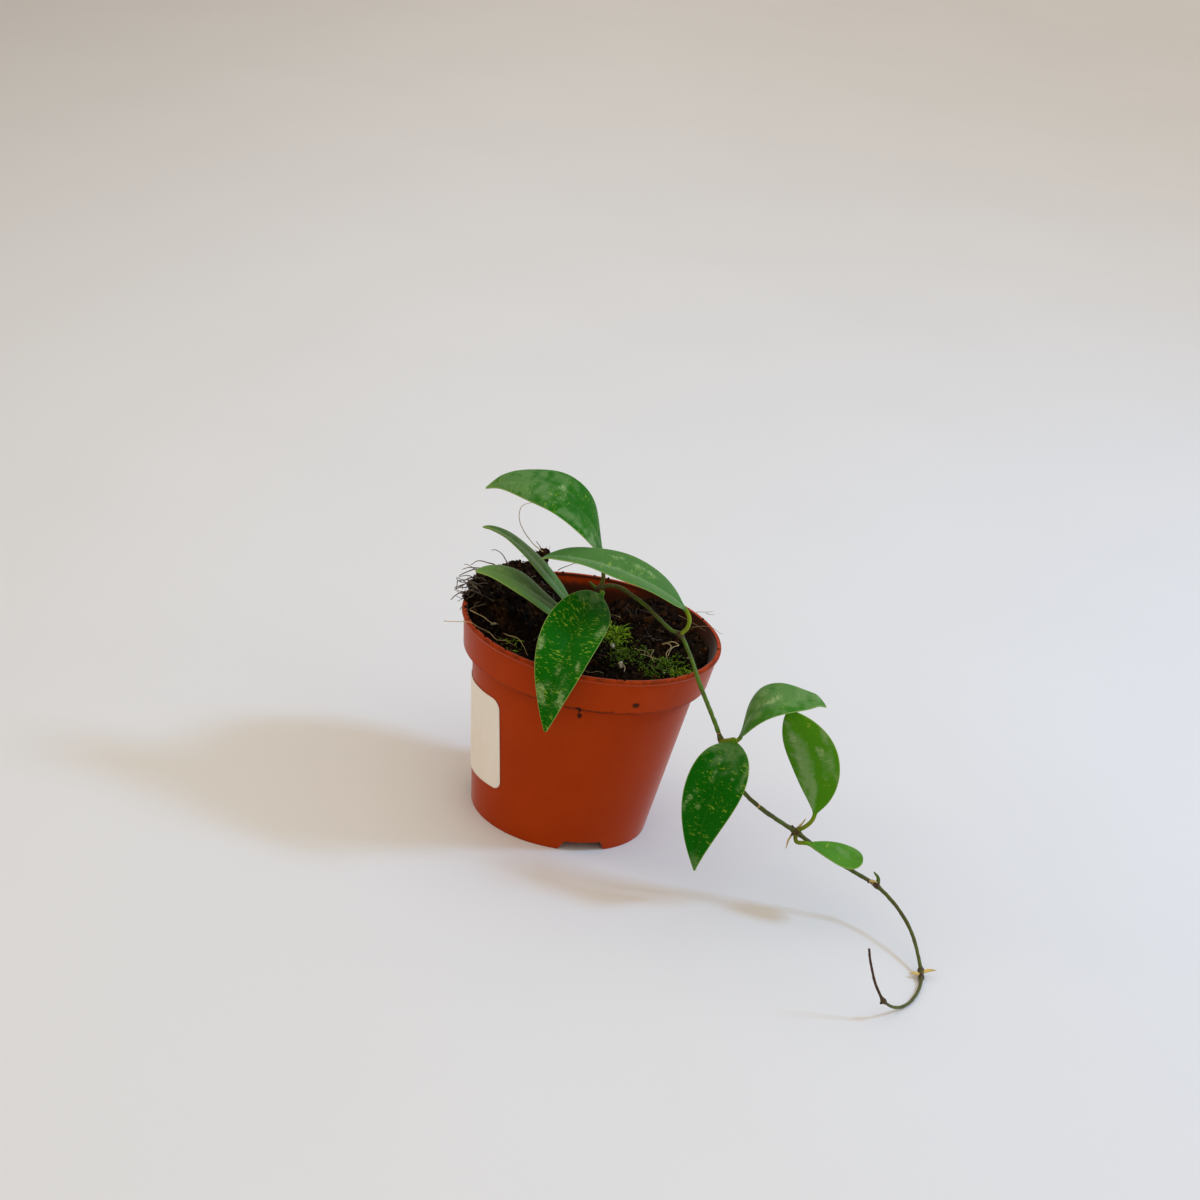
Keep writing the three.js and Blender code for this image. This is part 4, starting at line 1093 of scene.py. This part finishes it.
def loose_crumbs(middles, radii, seed, rings=4, sides=6):
    """Angular grains: spheres of a few faces, stretched and dented by a seeded amount at each point."""
    random = np.random.default_rng(seed)
    n = len(middles)
    dents = random.uniform(0.68, 1.3, (n, rings, sides, 1))
    stretch = random.uniform(0.65, 1.35, (n, 1, 1, 3))
    turns = np.linalg.qr(random.normal(size=(n, 3, 3)))[0]
    turns = turns * np.sign(np.linalg.det(turns))[:, None, None]
    grains = ball_rings(np.linspace(-0.8, 0.8, rings), sides) * dents * stretch
    local = np.einsum("nij,nrsj->nrsi", turns, grains)
    return shells(middles[:, None, None] + radii[:, None, None, None] * local)


def seeded_radii(random, count, middle, spread, least, most):
    """Radii in mm whose logarithms spread about a middle, held between the least and the most."""
    return np.exp(random.normal(middle, spread, count)).clip(least, most)


def on_peat(random, count, size, reach=47.3):
    """Seeded places spread evenly over the peat's disc, with their heights."""
    radius = reach * np.sqrt(random.uniform(0, 1, count))
    flat = polar(radius, random.uniform(0, FULL_TURN, count))
    return np.column_stack([flat, peat_height(flat, size)])


def inside_pot(points, pot):
    """The points with those below the top of the lip drawn in to just inside the pot's inner face."""
    step, top, mouth, gap = pot.shoulder_height, pot.height, pot.lip_radius - LIP_WIDTH, 0.25
    heights = [0, step - LEDGE_BELOW, step + LEDGE_ABOVE, top - LIP_DEPTH, top]
    walls = np.array([pot.foot_radius, pot.shoulder_radius, pot.collar_radius]) - pot.wall
    inner = np.interp(points[:, 2], heights, np.append(walls, [mouth, mouth]) - gap)
    limit = np.where(points[:, 2] < top + 0.1, inner, np.inf)
    shrink = np.minimum(1, limit / np.maximum(from_axis(points), 1e-6))
    return points * np.column_stack([shrink, shrink, np.ones(len(points))])


class HOYA_OT_soil(bpy.types.Operator):
    """Fills the pot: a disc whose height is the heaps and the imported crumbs, closed below down to the
    floor, with knobbly clods on the crest"""

    bl_idname = "hoya.soil"
    bl_label = "Peat"

    def execute(self, context):
        look = context.scene.hoya_soil
        size, pot = in_mm(look), in_mm(context.scene.hoya_pot)
        step, bottom = pot.shoulder_height, pot.floor_height + 1.3
        floor_rows, wall_rows, face_rows, rim = 8, 9, 104, 47.9
        around = round_steps(400)
        # Below the peat's face: over the floor, up the inside of the wall, and over the ledge in the collar
        ledge = step - 2 * LEDGE_BELOW
        wall_height = np.append(np.linspace(bottom, ledge, wall_rows), step + 0.2)
        wall_radius = body_radius(pot, np.minimum(wall_height, ledge)) - pot.wall - 0.4
        wall_radius[-1] = pot.shoulder_radius - 0.8
        floor_radius = np.linspace(0.05, 0.95, floor_rows) * wall_radius[0]
        radius = np.concatenate([floor_radius, wall_radius, np.linspace(1, 0.03, face_rows) * rim])
        flat = polar(radius[:, None], around)
        face = np.maximum(peat_height(flat[-face_rows:], size), step + 2)
        below = np.concatenate([np.full(floor_rows, bottom), wall_height])[:, None] + 0 * around
        disc = np.dstack([flat, np.concatenate([below, face])])
        loose = (np.arange(len(disc)) > len(disc) - face_rows)[:, None, None]
        disc = disc + 0.25 * ripple(disc, 1.3, 5)[..., None] * [0.6, 0.6, 0.8] * loose
        # Clods: flattened balls under their own relief
        lift = np.sin(np.linspace(-np.pi / 2, np.pi / 2, 40)[1:-1])
        ball = ball_rings(lift, 64) * [1, 1, 0.75]
        clods = CLODS[:, None, None, :3] + 0.93 * CLODS[:, None, None, 3:] * ball
        clods = clods + ball * (1.1 * crumbly(clods, 31) + 0.3 * ripple(clods, 1.4, 8))[..., None]
        points, faces = join([shells(disc[None]), shells(clods)])
        points = inside_pot(points, pot)
        # Drier in clouds, high up, and in lumps at the back right
        back_right = ease((points[:, 1] + 0.5 * points[:, 0] - 8) / 25) * ease(ripple(points, 5, 61) * 0.8)
        clouds, high = ease(ripple(points, 14, 3) - 0.5), ease((points[:, 2] - 84) / 10)
        dry = 0.45 * clouds + 0.3 * high + 0.5 * back_right
        new_piece("peat", (points, faces), milled_peat(look), "peat", ["soil"], dryness=dry * 0.8)
        return {"FINISHED"}


class HOYA_OT_crumbs(bpy.types.Operator):
    """Strews loose crumbs over the peat and over the crest and lip, and a few chips of grit"""

    bl_idname = "hoya.crumbs"
    bl_label = "Crumbs and grit"

    def execute(self, context):
        look = context.scene.hoya_soil
        size = in_mm(look)
        # Where crumbs lie on the lip: a radius and a height
        lip_line, lip_top = 51.2, 83.2
        random = np.random.default_rng(21)
        spread = on_peat(random, look.crumbs, size)
        radii = seeded_radii(random, len(spread), -0.55, 0.42, 0.28, 1.7)
        on_crest = 900
        clod = random.integers(0, len(CLODS), on_crest)
        ways = unit(random.normal(size=(on_crest, 3)) + [-0.2, 0.2, 0.5])
        crest = CLODS[clod, :3] + ways * CLODS[clod, 3:] * [1, 1, 0.78]
        crest_radii = seeded_radii(random, on_crest, -0.6, 0.4, 0.25, 1.4)
        out, height = from_axis(crest), crest[:, 2]
        keep = (out < 53.5) & (height > 80) & ((out < 49) | (height > lip_top + 0.4))
        # Crumbs that lie on the lip: 46 on the heap's side and 34 all round
        turn = np.concatenate([random.normal(2.6, 0.5, 46), random.uniform(0, FULL_TURN, 34)])
        on_lip = np.column_stack([polar(lip_line, turn), np.full(len(turn), lip_top)])
        lip_radii = seeded_radii(random, len(turn), -1.15, 0.35, 0.15, 0.6)
        middles = np.concatenate([spread, crest[keep], on_lip])
        radii = np.concatenate([radii, crest_radii[keep], lip_radii])
        shape = loose_crumbs(middles, radii, 4)
        dry = np.where(random.uniform(size=len(radii)) < 0.12, random.uniform(0.4, 1, len(radii)), 0.06)
        dryness = np.repeat(dry, len(shape[0]) // len(dry))
        new_piece("peat_crumbs", shape, milled_peat(look), "peat", dryness=dryness)
        chips = np.column_stack([CHIPS[:, :2], heap_height(CHIPS, size) + 1.1])
        new_piece("grit_chips", loose_crumbs(chips, CHIPS[:, 2], 9, 6, 9), pumice_grit(look), "peat")
        return {"FINISHED"}


class HOYA_OT_fibres(bpy.types.Operator):
    """Lays rootlets and grass: each is a short path that starts in the peat, leans away and curls by a
    seeded amount, and carries a tapered round section"""

    bl_idname = "hoya.fibres"
    bl_label = "Rootlets and grass"

    def execute(self, context):
        look = context.scene.hoya_soil
        size = in_mm(look)
        random = np.random.default_rng(33)
        # The first half leaves the clods, and the rest lies on the peat
        n, half, rows = look.fibres, look.fibres // 2, 8
        clod = random.integers(0, len(CLODS) - 1, half)
        ways = unit(random.normal(size=(half, 3)) * [1, 1, 0.7] + [-0.25, 0.2, 0.55])
        roots = CLODS[clod, :3] + ways * CLODS[clod, 3:] * [0.9, 0.9, 0.7]
        flat = on_peat(random, n - half, size, 46)
        lying = unit(random.normal(size=(n - half, 3)) * [1, 1, 0.25] + [0, 0, 0.12])
        start, way = np.concatenate([roots, flat]), np.concatenate([ways, lying])
        reach = np.concatenate([random.uniform(0.8, 3.0, half), random.uniform(2, 8, n - half)])
        bend = np.cross(way, unit(random.normal(size=(n, 3)))) * random.uniform(0.1, 0.7, (n, 1))
        kinks = random.normal(0, 0.07, (n, rows, 3))
        paths = bent_paths(start, reach, way, bend, rows, kinks)
        paths[half:, :, 2] = np.maximum(paths[half:, :, 2], heap_height(paths[half:], size) + 0.5)
        out = from_axis(paths).max(1)
        keep = out < np.where(np.arange(n) < half, 56, 47)
        keep &= (paths[..., 2].min(1) > 83.2) | (out < 48)
        radii = random.uniform(0.07, 0.18, (n, 1)) * np.linspace(1, 0.45, rows)
        short = shells(many_tubes(paths[keep], radii[keep]))
        straw, light, dark = random.uniform(size=n), random.uniform(0.4, 0.9, n), random.uniform(0, 0.15, n)
        pale = np.where(straw < 0.08, light, dark)
        pale = np.repeat(pale[keep], len(short[0]) // keep.sum())
        named = [(short, pale)] + [self.strand(*strand) for strand in STRANDS] + self.tangle(random)
        shape = join([part for part, _ in named])
        paleness = np.concatenate([value for _, value in named])
        new_piece("rootlets_and_grass", shape, dry_grass(look), "peat", paleness=paleness)
        return {"FINISHED"}

    def tangle(self, random):
        """Old rootlets matted together on the heap's left end: each leaves a seeded place there, bends and
        sinks a little."""
        count, furthest_left = 46, -57
        start = random.normal([-47.5, 6, 86.6], [2.6, 6, 1.4], (count, 3))
        way = unit(random.normal([-1.1, 0, 0.25], [0.7, 0.9, 0.55], (count, 3)))
        reach = random.uniform(3, 8.5, count)
        bend = random.normal(0, 0.4, (count, 3)) - [0, 0, 0.35]
        paths = bent_paths(start, reach, way, bend, 5)
        paths[..., 0] = np.maximum(paths[..., 0], furthest_left + 0.4 * random.uniform(size=(count, 1)))
        radii, pale = random.uniform(0.16, 0.34, count), random.uniform(0, 0.22, count)
        return [self.strand(*values) for values in zip(paths, radii, pale)]

    def strand(self, points, radius, pale, kinks=0.25):
        """One long fibre through the points, thinner to its end, with small kinks."""
        path = smooth_path(points, 40)
        path = path + kinks * np.stack([ripple(path, 7, seed) for seed in (1, 2, 3)], 1)
        part = shells(tube_rings(path, radius * np.linspace(1, 0.5, len(path)), 6)[None])
        return part, np.full(len(part[0]), pale)


class HOYA_OT_moss(bpy.types.Operator):
    """Grows cushions of moss: strands that rise from the peat, lean outwards and taper"""

    bl_idname = "hoya.moss"
    bl_label = "Moss"

    def execute(self, context):
        look = context.scene.hoya_soil
        size = in_mm(look)
        random = np.random.default_rng(77)
        _, _, counts, longs, freshness = zip(*MOSS)
        flat = [random.normal(middle, spread * 0.5, (count, 2)) for middle, spread, count, _, _ in MOSS]
        flat = np.concatenate(flat)
        n = len(flat)
        reach = random.uniform(0.6, 1.2, n) * np.repeat(longs, counts)
        foot = np.column_stack([flat, peat_height(flat, size)])
        lean = np.column_stack([random.normal(0, 0.75, (n, 2)), np.full(n, 1.0)])
        curl = np.column_stack([random.normal(0, 0.6, (n, 2)), random.uniform(-0.6, 0.1, n)])
        # Leafy outline: the radius swells and thins twice along the strand
        outline = np.array([0.7, 1.1, 0.7, 1.0, 0.75, 0.25])
        rows, sides = len(outline), 4
        paths = bent_paths(foot, reach, unit(lean), curl, rows)
        keep = from_axis(paths).max(1) < 47.5
        radii = random.uniform(0.22, 0.42, (n, 1)) * outline
        shape = shells(many_tubes(paths[keep], radii[keep], sides))
        bright = random.uniform(0.05, 0.95, (n, 1)) * np.repeat(freshness, counts)[:, None]
        # Each strand is painted darker towards its foot, as painted shade down among the strands
        fresh = np.clip(bright * np.linspace(0.25, 1.15, rows), 0, 1)
        new_piece("moss", shape, living_moss(look), "peat", freshness=for_shells(fresh[keep], sides))
        return {"FINISHED"}


def shoot(path, radii, brown, sides=16):
    """A shoot's rings and the numbers that its skin reads: the section is round with faint ribs, and the
    place is the cosine and sine of the bearing round it, and mm along."""
    rings = tube_rings(path, radii, sides)
    centre = path[:, None]
    rings = centre + (rings - centre) * (1 + 0.05 * ripple(rings, 2.5, 6))[..., None]
    way = way_along(path)
    turn = round_steps(sides)
    grid = np.dstack(np.broadcast_arrays(np.cos(turn), np.sin(turn), way[:, None]))
    place_on = np.concatenate([grid.reshape(-1, 3), [[0, 0, 0], [0, 0, way[-1]]]])
    return shells(rings[None]), place_on, for_shells(np.asarray(brown)[None], sides)


class HOYA_OT_vine(bpy.types.Operator):
    """Grows the long shoot: a tapered round section along its route, which swells at each joint by a bell
    curve, with the stubs of old stalks, buds and rootlets, and two pale first leaves"""

    bl_idname = "hoya.vine"
    bl_label = "Long shoot"

    def execute(self, context):
        look = context.scene.hoya_shoots
        path = smooth_path(VINE, 620)
        share = np.linspace(0, 1, len(path))
        radii = look.thickness * np.interp(share, *np.transpose(VINE_RADII))
        brown = np.interp(share, *np.transpose(VINE_BROWN))
        for middle, radius in JOINTS:
            away = np.linalg.norm(path - middle, axis=1)
            bell = np.exp(-((away / radius) ** 2))
            radii = radii + (radius * 0.95 - radii[away.argmin()]) * bell
            brown = np.maximum(brown, 0.95 * np.exp(-((away / (1.4 * radius)) ** 2)))
        for middle, half in HUSKS:
            away = np.linalg.norm(path - middle, axis=1)
            brown = np.maximum(brown, 1.9 * np.exp(-((away / half) ** 4)))
        shapes, places, browns = zip(shoot(path, radii, brown), *[self.stub(*stub) for stub in STUBS])
        values = dict(shoot_place=np.concatenate(places), brownness=np.concatenate(browns))
        new_piece("long_shoot", join(shapes), green_bark(look), "stem", ["vine_stem"], **values)
        first = join([shells(self.leaflet(points, half)[None]) for points, half in LEAFLETS])
        new_piece("first_leaves", first, first_leaf_skin(look), "stem")
        return {"FINISHED"}

    def stub(self, points, radius, brown):
        """A bent tapered stub with a round end."""
        path = smooth_path(points, 24)
        share = np.linspace(0, 1, len(path))
        radii = radius * mix(1.15, 0.5, share) * np.sqrt(np.clip(1 - share**8, 0.05, 1))
        return shoot(path, radii, mix(0.8, brown, ease(share * 3)), 10)

    def leaflet(self, points, half):
        """Rings of a small spindle: half a sine arch wide to each side, and three tenths of that thick."""
        path = smooth_path(points, 24)
        share = np.linspace(0, 1, len(path))
        width = (half * np.sin(np.pi * mix(0.08, 0.97, share) ** 0.7))[:, None, None]
        along, across = sideways(path, (0.1, 1, 0.3))
        over = np.cross(along, across)
        turn = round_steps(12)[:, None]
        wide = width * np.cos(turn) * across[:, None]
        return path[:, None] + wide + 0.3 * width * np.sin(turn) * over[:, None]


class HOYA_OT_short_shoot(bpy.types.Operator):
    """Grows the short shoot in the peat that carries two leaves"""

    bl_idname = "hoya.short_shoot"
    bl_label = "Short shoot"

    def execute(self, context):
        look = context.scene.hoya_shoots
        path = smooth_path(SHORT_SHOOT, 120)
        share = np.linspace(0, 1, len(path))
        radii = look.thickness * np.interp(share, [0, 0.85, 1], [1.1, 1.05, 0.4])
        shape, place_on, brown = shoot(path, radii, mix(0.9, 0.35, share))
        values = dict(shoot_place=place_on, brownness=brown)
        new_piece("short_shoot", shape, green_bark(look), "stem", ["short_shoot_stem"], **values)
        return {"FINISHED"}


def bezier(points, share):
    """Point and direction on a cubic Bezier curve at each share of its way."""
    a, b, c, d = np.asarray(points, float)[:, None]
    u = share[:, None]
    v = 1 - u
    place_at = v**3 * a + 3 * v * v * u * b + 3 * v * u * u * c + u**3 * d
    return place_at, unit(3 * (v * v * (b - a) + 2 * v * u * (c - b) + u * u * (d - c)))


def leaf_route(leaf, size):
    """What a leaf's rings follow, from the stalk's foot to the tip: the middle of each ring, its
    directions to the right and up, its half width, and the share of the blade's way, 0 on the stalk. The
    half width goes as share^foot (1 - share)^tip, with its peak at foot / (foot + tip)."""
    even = np.linspace(0, 0.985, BLADE_ROWS)
    share = mix(even, (1 - np.cos(np.pi * even)) / 2, 0.6)
    rib, along = bezier(leaf["midrib"], share)
    faces = np.asarray(leaf["faces"], float)
    flat = unit(faces - (along @ faces)[:, None] * along)
    across = np.cross(along, flat)
    turn = (np.radians(leaf["twist"]) * (share - 0.5))[:, None]
    up = flat * np.cos(turn) + across * np.sin(turn)
    right = across * np.cos(turn) - flat * np.sin(turn)
    curl = (leaf["droop"] * np.clip((share - 0.9) / 0.1, 0, 1) ** 1.4)[:, None]
    rib = rib - up * curl - 0.35 * along * curl
    peak = leaf["foot"] / (leaf["foot"] + leaf["tip"])
    outline = (share / peak) ** leaf["foot"] * ((1 - share) / (1 - peak)) ** leaf["tip"]
    outline = outline * (1 - np.exp(-share / 0.035))
    half = np.hypot(leaf["half_width"] * outline, mix(size.stalk_radius, 0.4, ease(share * 3)))
    # Stalk: its rings carry the blade's frame back without turning
    stalk = smooth_path(leaf["stalk"] + [tuple(rib[0]), tuple(rib[0] + 3 * along[0])], 60)
    end = np.linalg.norm(stalk - rib[0], axis=1).argmin()
    stalk = sample(stalk, np.arange(len(stalk)), np.linspace(0, end - 1.5, STALK_ROWS))
    stalk_right = sideways(stalk[::-1], right[0])[1][::-1]
    stalk_up = np.cross(stalk_right, unit(np.gradient(stalk, axis=0)))
    stalk_half = size.stalk_radius * mix(1.3, 1, ease(np.linspace(0, 4, STALK_ROWS)))
    foot = stalk, stalk_right, stalk_up, stalk_half, np.zeros(STALK_ROWS)
    return [np.concatenate(pair) for pair in zip(foot, (rib, right, up, half, share))]


def leaf_shape(leaf, size, seed):
    """Rings of a leaf from its stalk to its tip. On the blade a ring is a flat lens: its point is
    midrib + half width x side x (cos cup across + |side| sin cup up), with the rim and channel shaped
    in thickness, side going from one edge to the other over the top and back below. On the stalk the
    lens closes to a circle."""
    path, right, up, half, share = leaf_route(leaf, size)
    way = way_along(path)
    way = (way - way[STALK_ROWS])[:, None]
    half, share = half[:, None], share[:, None]
    body = ease(share / 0.07)
    # Section: cosine steps crowd the columns to the rim
    turn = round_steps(56)
    side, over = np.cos(turn), -np.sin(turn)
    wide = np.abs(side)
    thick = mix(size.rib_thickness, size.rim_thickness, wide**1.5) / 2
    lens = np.sign(over) * np.sqrt(np.clip(1 - wide**9, 0, 1)) * thick * np.clip(half / 1.2, 0.4, 1)
    depth = mix(np.minimum(half, size.stalk_radius) * over, lens, body)
    # Rise: the cup, the channel over the midrib, the rib below it, a slight bulge, and the edge's wave
    reach = half * wide
    cup = np.radians(leaf["cup"]) * body
    face, back, broad = (over > 0) * body, (over < 0) * body, np.clip(half / 4, 0, 1)
    rise = reach * np.sin(cup)
    rise = rise - face * size.channel * np.exp(-((reach / 0.8) ** 2)) * broad
    rise = rise - back * 0.35 * np.exp(-((reach / 0.9) ** 2)) * broad
    rise = rise + body * 0.03 * half * np.sin(np.pi * wide)
    wave = ripple(np.hstack([way, 1 + 0 * way]), 24, seed)[:, None]
    other = ripple(np.hstack([way, 9 + 0 * way]), 21, seed + 50)[:, None]
    rise = rise + body * leaf["wave"] * wide**2 * np.where(side > 0, wave, other) * np.clip(half / 6, 0, 1)
    out = half * side * np.cos(cup)
    rings = path[:, None] + out[..., None] * right[:, None] + (rise + depth)[..., None] * up[:, None]
    # What the material reads. The third number moves each leaf to its own part of the patterns.
    place_on = np.dstack(np.broadcast_arrays(half * side, way, seed * 31.0))
    rim = mix(5.0, half * (1 - wide), body * (share > 0.01))
    looks = np.dstack(np.broadcast_arrays(leaf["tone"], leaf["flecks"], (over < -0.02) * body))
    # Painted sheen over the face, and a fainter frost and painted highlight with it; the patches add more of
    # both
    painted_sheen, frost_and_highlight = leaf["painted_sheen"] * face, 0.4 * leaf["painted_sheen"] * face
    flat = place_on[..., :2]
    ragged = 0.22 * ripple(flat, 5, seed + 80) + 0.1 * ripple(flat, 2.2, seed + 90)
    blade = slice(STALK_ROWS, None)
    for at_side, at_share, spread_across, spread_along, hazy, frosted in leaf["patches"]:
        centre = np.interp(at_share, share[blade, 0], way[blade, 0])
        away = np.hypot((flat[..., 0] - at_side) / spread_across, (flat[..., 1] - centre) / spread_along)
        patch = face * np.exp(-(np.clip(away + ragged, 0, None) ** 3))
        painted_sheen, frost_and_highlight = np.maximum(painted_sheen, hazy * patch), np.maximum(frost_and_highlight, frosted * patch)
    # A stalk browns from its foot up
    up_stalk = np.linspace(0, 1, STALK_ROWS)[:, None]
    browning = 0 * rim
    browned = np.clip(leaf["browning"] * (1 - 0.75 * ease(up_stalk / 1.05)), 0, 0.9)
    browning[:STALK_ROWS] = browned * (up_stalk < 1)
    looks_of = dict(leaf_look=looks, painted_sheen=painted_sheen, frost_and_highlight=frost_and_highlight, browning=browning)
    return rings, dict(leaf_place=place_on, rim_distance=rim, **looks_of)


class HOYA_OT_leaves(bpy.types.Operator):
    """Grows the nine leaves, each one closed skin over stalk and blade"""

    bl_idname = "hoya.leaves"
    bl_label = "Leaves"

    def execute(self, context):
        look = context.scene.hoya_leaves
        material = waxy_leaf(look)
        for seed, (node, leaf) in enumerate(LEAVES.items(), 1):
            rings, values = leaf_shape(leaf, in_mm(look), seed)
            values = {name: with_poles(grid) for name, grid in values.items()}
            new_piece("waxy_" + node, shells(rings[None]), material, "leaf", [node], **values)
        return {"FINISHED"}


class HOYA_OT_stage(bpy.types.Operator):
    """Sets the stage: a floor that sweeps up into a backdrop, a small soft light on the right, a weak
    light on the left, light from all round, and the camera"""

    bl_idname = "hoya.stage"
    bl_label = "Stage"

    def execute(self, context):
        look = context.scene.hoya_stage
        scene = context.scene
        # Sweep: flat, then a quarter circle, then upright
        turn = np.linspace(0, np.pi / 2, 24)
        front, start, bend, height, half_width = -1500, 2600, 1200, 3200, 3600
        y = np.concatenate([[front], start + bend * np.sin(turn), [start + bend]])
        z = np.concatenate([[0], bend * (1 - np.cos(turn)), [height]])
        grid = np.dstack(np.broadcast_arrays([[-half_width], [half_width]], y, z))
        faces = grid_faces(2, len(y), around=False)
        mesh = bpy.data.meshes.new("sweep")
        mesh.from_pydata(place(grid.reshape(-1, 3)).tolist(), [], faces[:, ::-1].tolist())
        mesh.polygons.foreach_set("use_smooth", np.ones(len(mesh.polygons), bool))
        mesh.materials.append(painted_board(look))
        sweep = bpy.data.objects.new("sweep", mesh)
        scene.collection.objects.link(sweep)
        self.lamp("key_light", (1070, 160, 1050), 240, look.key, look.key_power)
        self.lamp("side_light", (-1300, -60, 760), 400, look.side, look.side_power)
        world = bpy.data.worlds.new("studio")
        world.use_nodes = True
        tree = world.node_tree
        tree.nodes.clear()
        # The room is brighter overhead than at its walls
        way = add_node(tree, "ShaderNodeTexCoord").outputs["Generated"]
        inputs = {"Value": axes(tree, way)["Z"], "To Min": 0.55 * look.fill, "To Max": 1.3 * look.fill}
        strength = add_node(tree, "ShaderNodeMapRange", inputs).outputs[0]
        sky = add_node(tree, "ShaderNodeBackground", {"Color": look.sky, "Strength": strength})
        add_node(tree, "ShaderNodeOutputWorld", {"Surface": sky.outputs[0]})
        scene.world = world
        scene.view_settings.view_transform = "Standard"
        scene.camera = self.camera()
        return {"FINISHED"}

    def lamp(self, name, where, side, colour, power):
        """A soft square light, side mm wide, that looks at the pot."""
        light = bpy.data.lights.new(name, "AREA")
        light.shape, light.size, light.size_y = "RECTANGLE", side * MM, side * MM
        light.color, light.energy = colour[:3], power
        back = unit(np.array(where, float) - [20, 0, 50])
        right = unit(np.cross([0, 1, 0], back))
        self.put(light, where, right, np.cross(back, right), back)

    def camera(self):
        """The camera where the picture was taken: in front, above, and rolled a little to the left."""
        down, roll = np.radians(22.25), np.radians(10.66)
        target, distance = np.array([1.2, 0, 93.9]), 994
        back = np.array([0, -np.cos(down), np.sin(down)])
        level, upright = np.array([1, 0, 0]), np.array([0, np.sin(down), np.cos(down)])
        right = level * np.cos(roll) + upright * np.sin(roll)
        up = upright * np.cos(roll) - level * np.sin(roll)
        lens = bpy.data.cameras.new("camera")
        lens.sensor_width, lens.lens = 36, 75
        lens.clip_start, lens.clip_end = 0.05, 20
        return self.put(lens, target + distance * back, right, up, back)

    def put(self, data, where, right, up, back):
        """Sets up a light or camera at a place in mm, turned to look against back."""
        item = bpy.data.objects.new(data.name, data)
        turned = Matrix(np.column_stack([right, up, back]).tolist()).to_4x4()
        item.matrix_world = Matrix.Translation(place(where)) @ turned
        bpy.context.scene.collection.objects.link(item)
        return item


PIECES = (
    HOYA_OT_stage,
    HOYA_OT_pot,
    HOYA_OT_label,
    HOYA_OT_soil,
    HOYA_OT_crumbs,
    HOYA_OT_fibres,
    HOYA_OT_moss,
    HOYA_OT_vine,
    HOYA_OT_short_shoot,
    HOYA_OT_leaves,
)
GROUPS = {
    "hoya_pot": HoyaPot,
    "hoya_label": HoyaLabel,
    "hoya_soil": HoyaSoil,
    "hoya_shoots": HoyaShoots,
    "hoya_leaves": HoyaLeaves,
    "hoya_stage": HoyaStage,
}


class HOYA_PT_panel(bpy.types.Panel):
    """Lists the pieces, and the sizes and colours of each group"""

    bl_idname = "HOYA_PT_panel"
    bl_label = "Trailing hoya"
    bl_space_type = "VIEW_3D"
    bl_region_type = "UI"
    bl_category = "Hoya"

    def draw(self, context):
        column = self.layout.column(align=True)
        for piece in PIECES:
            column.operator(piece.bl_idname)
        for group_name, group in GROUPS.items():
            box = self.layout.box()
            box.label(text=group_name.replace("_", " ").capitalize())
            for name in group.__annotations__:
                box.prop(getattr(context.scene, group_name), name)


def register():
    for kind in (*GROUPS.values(), *PIECES, HOYA_PT_panel):
        bpy.utils.register_class(kind)
    for name, group in GROUPS.items():
        setattr(bpy.types.Scene, name, PointerProperty(type=group))


def unregister():
    for name in GROUPS:
        delattr(bpy.types.Scene, name)
    for kind in (HOYA_PT_panel, *reversed(PIECES), *reversed(GROUPS.values())):
        bpy.utils.unregister_class(kind)


def main():
    register()
    for piece in PIECES:
        group, name = piece.bl_idname.split(".")
        getattr(getattr(bpy.ops, group), name)()


if __name__ == "__main__":
    main()
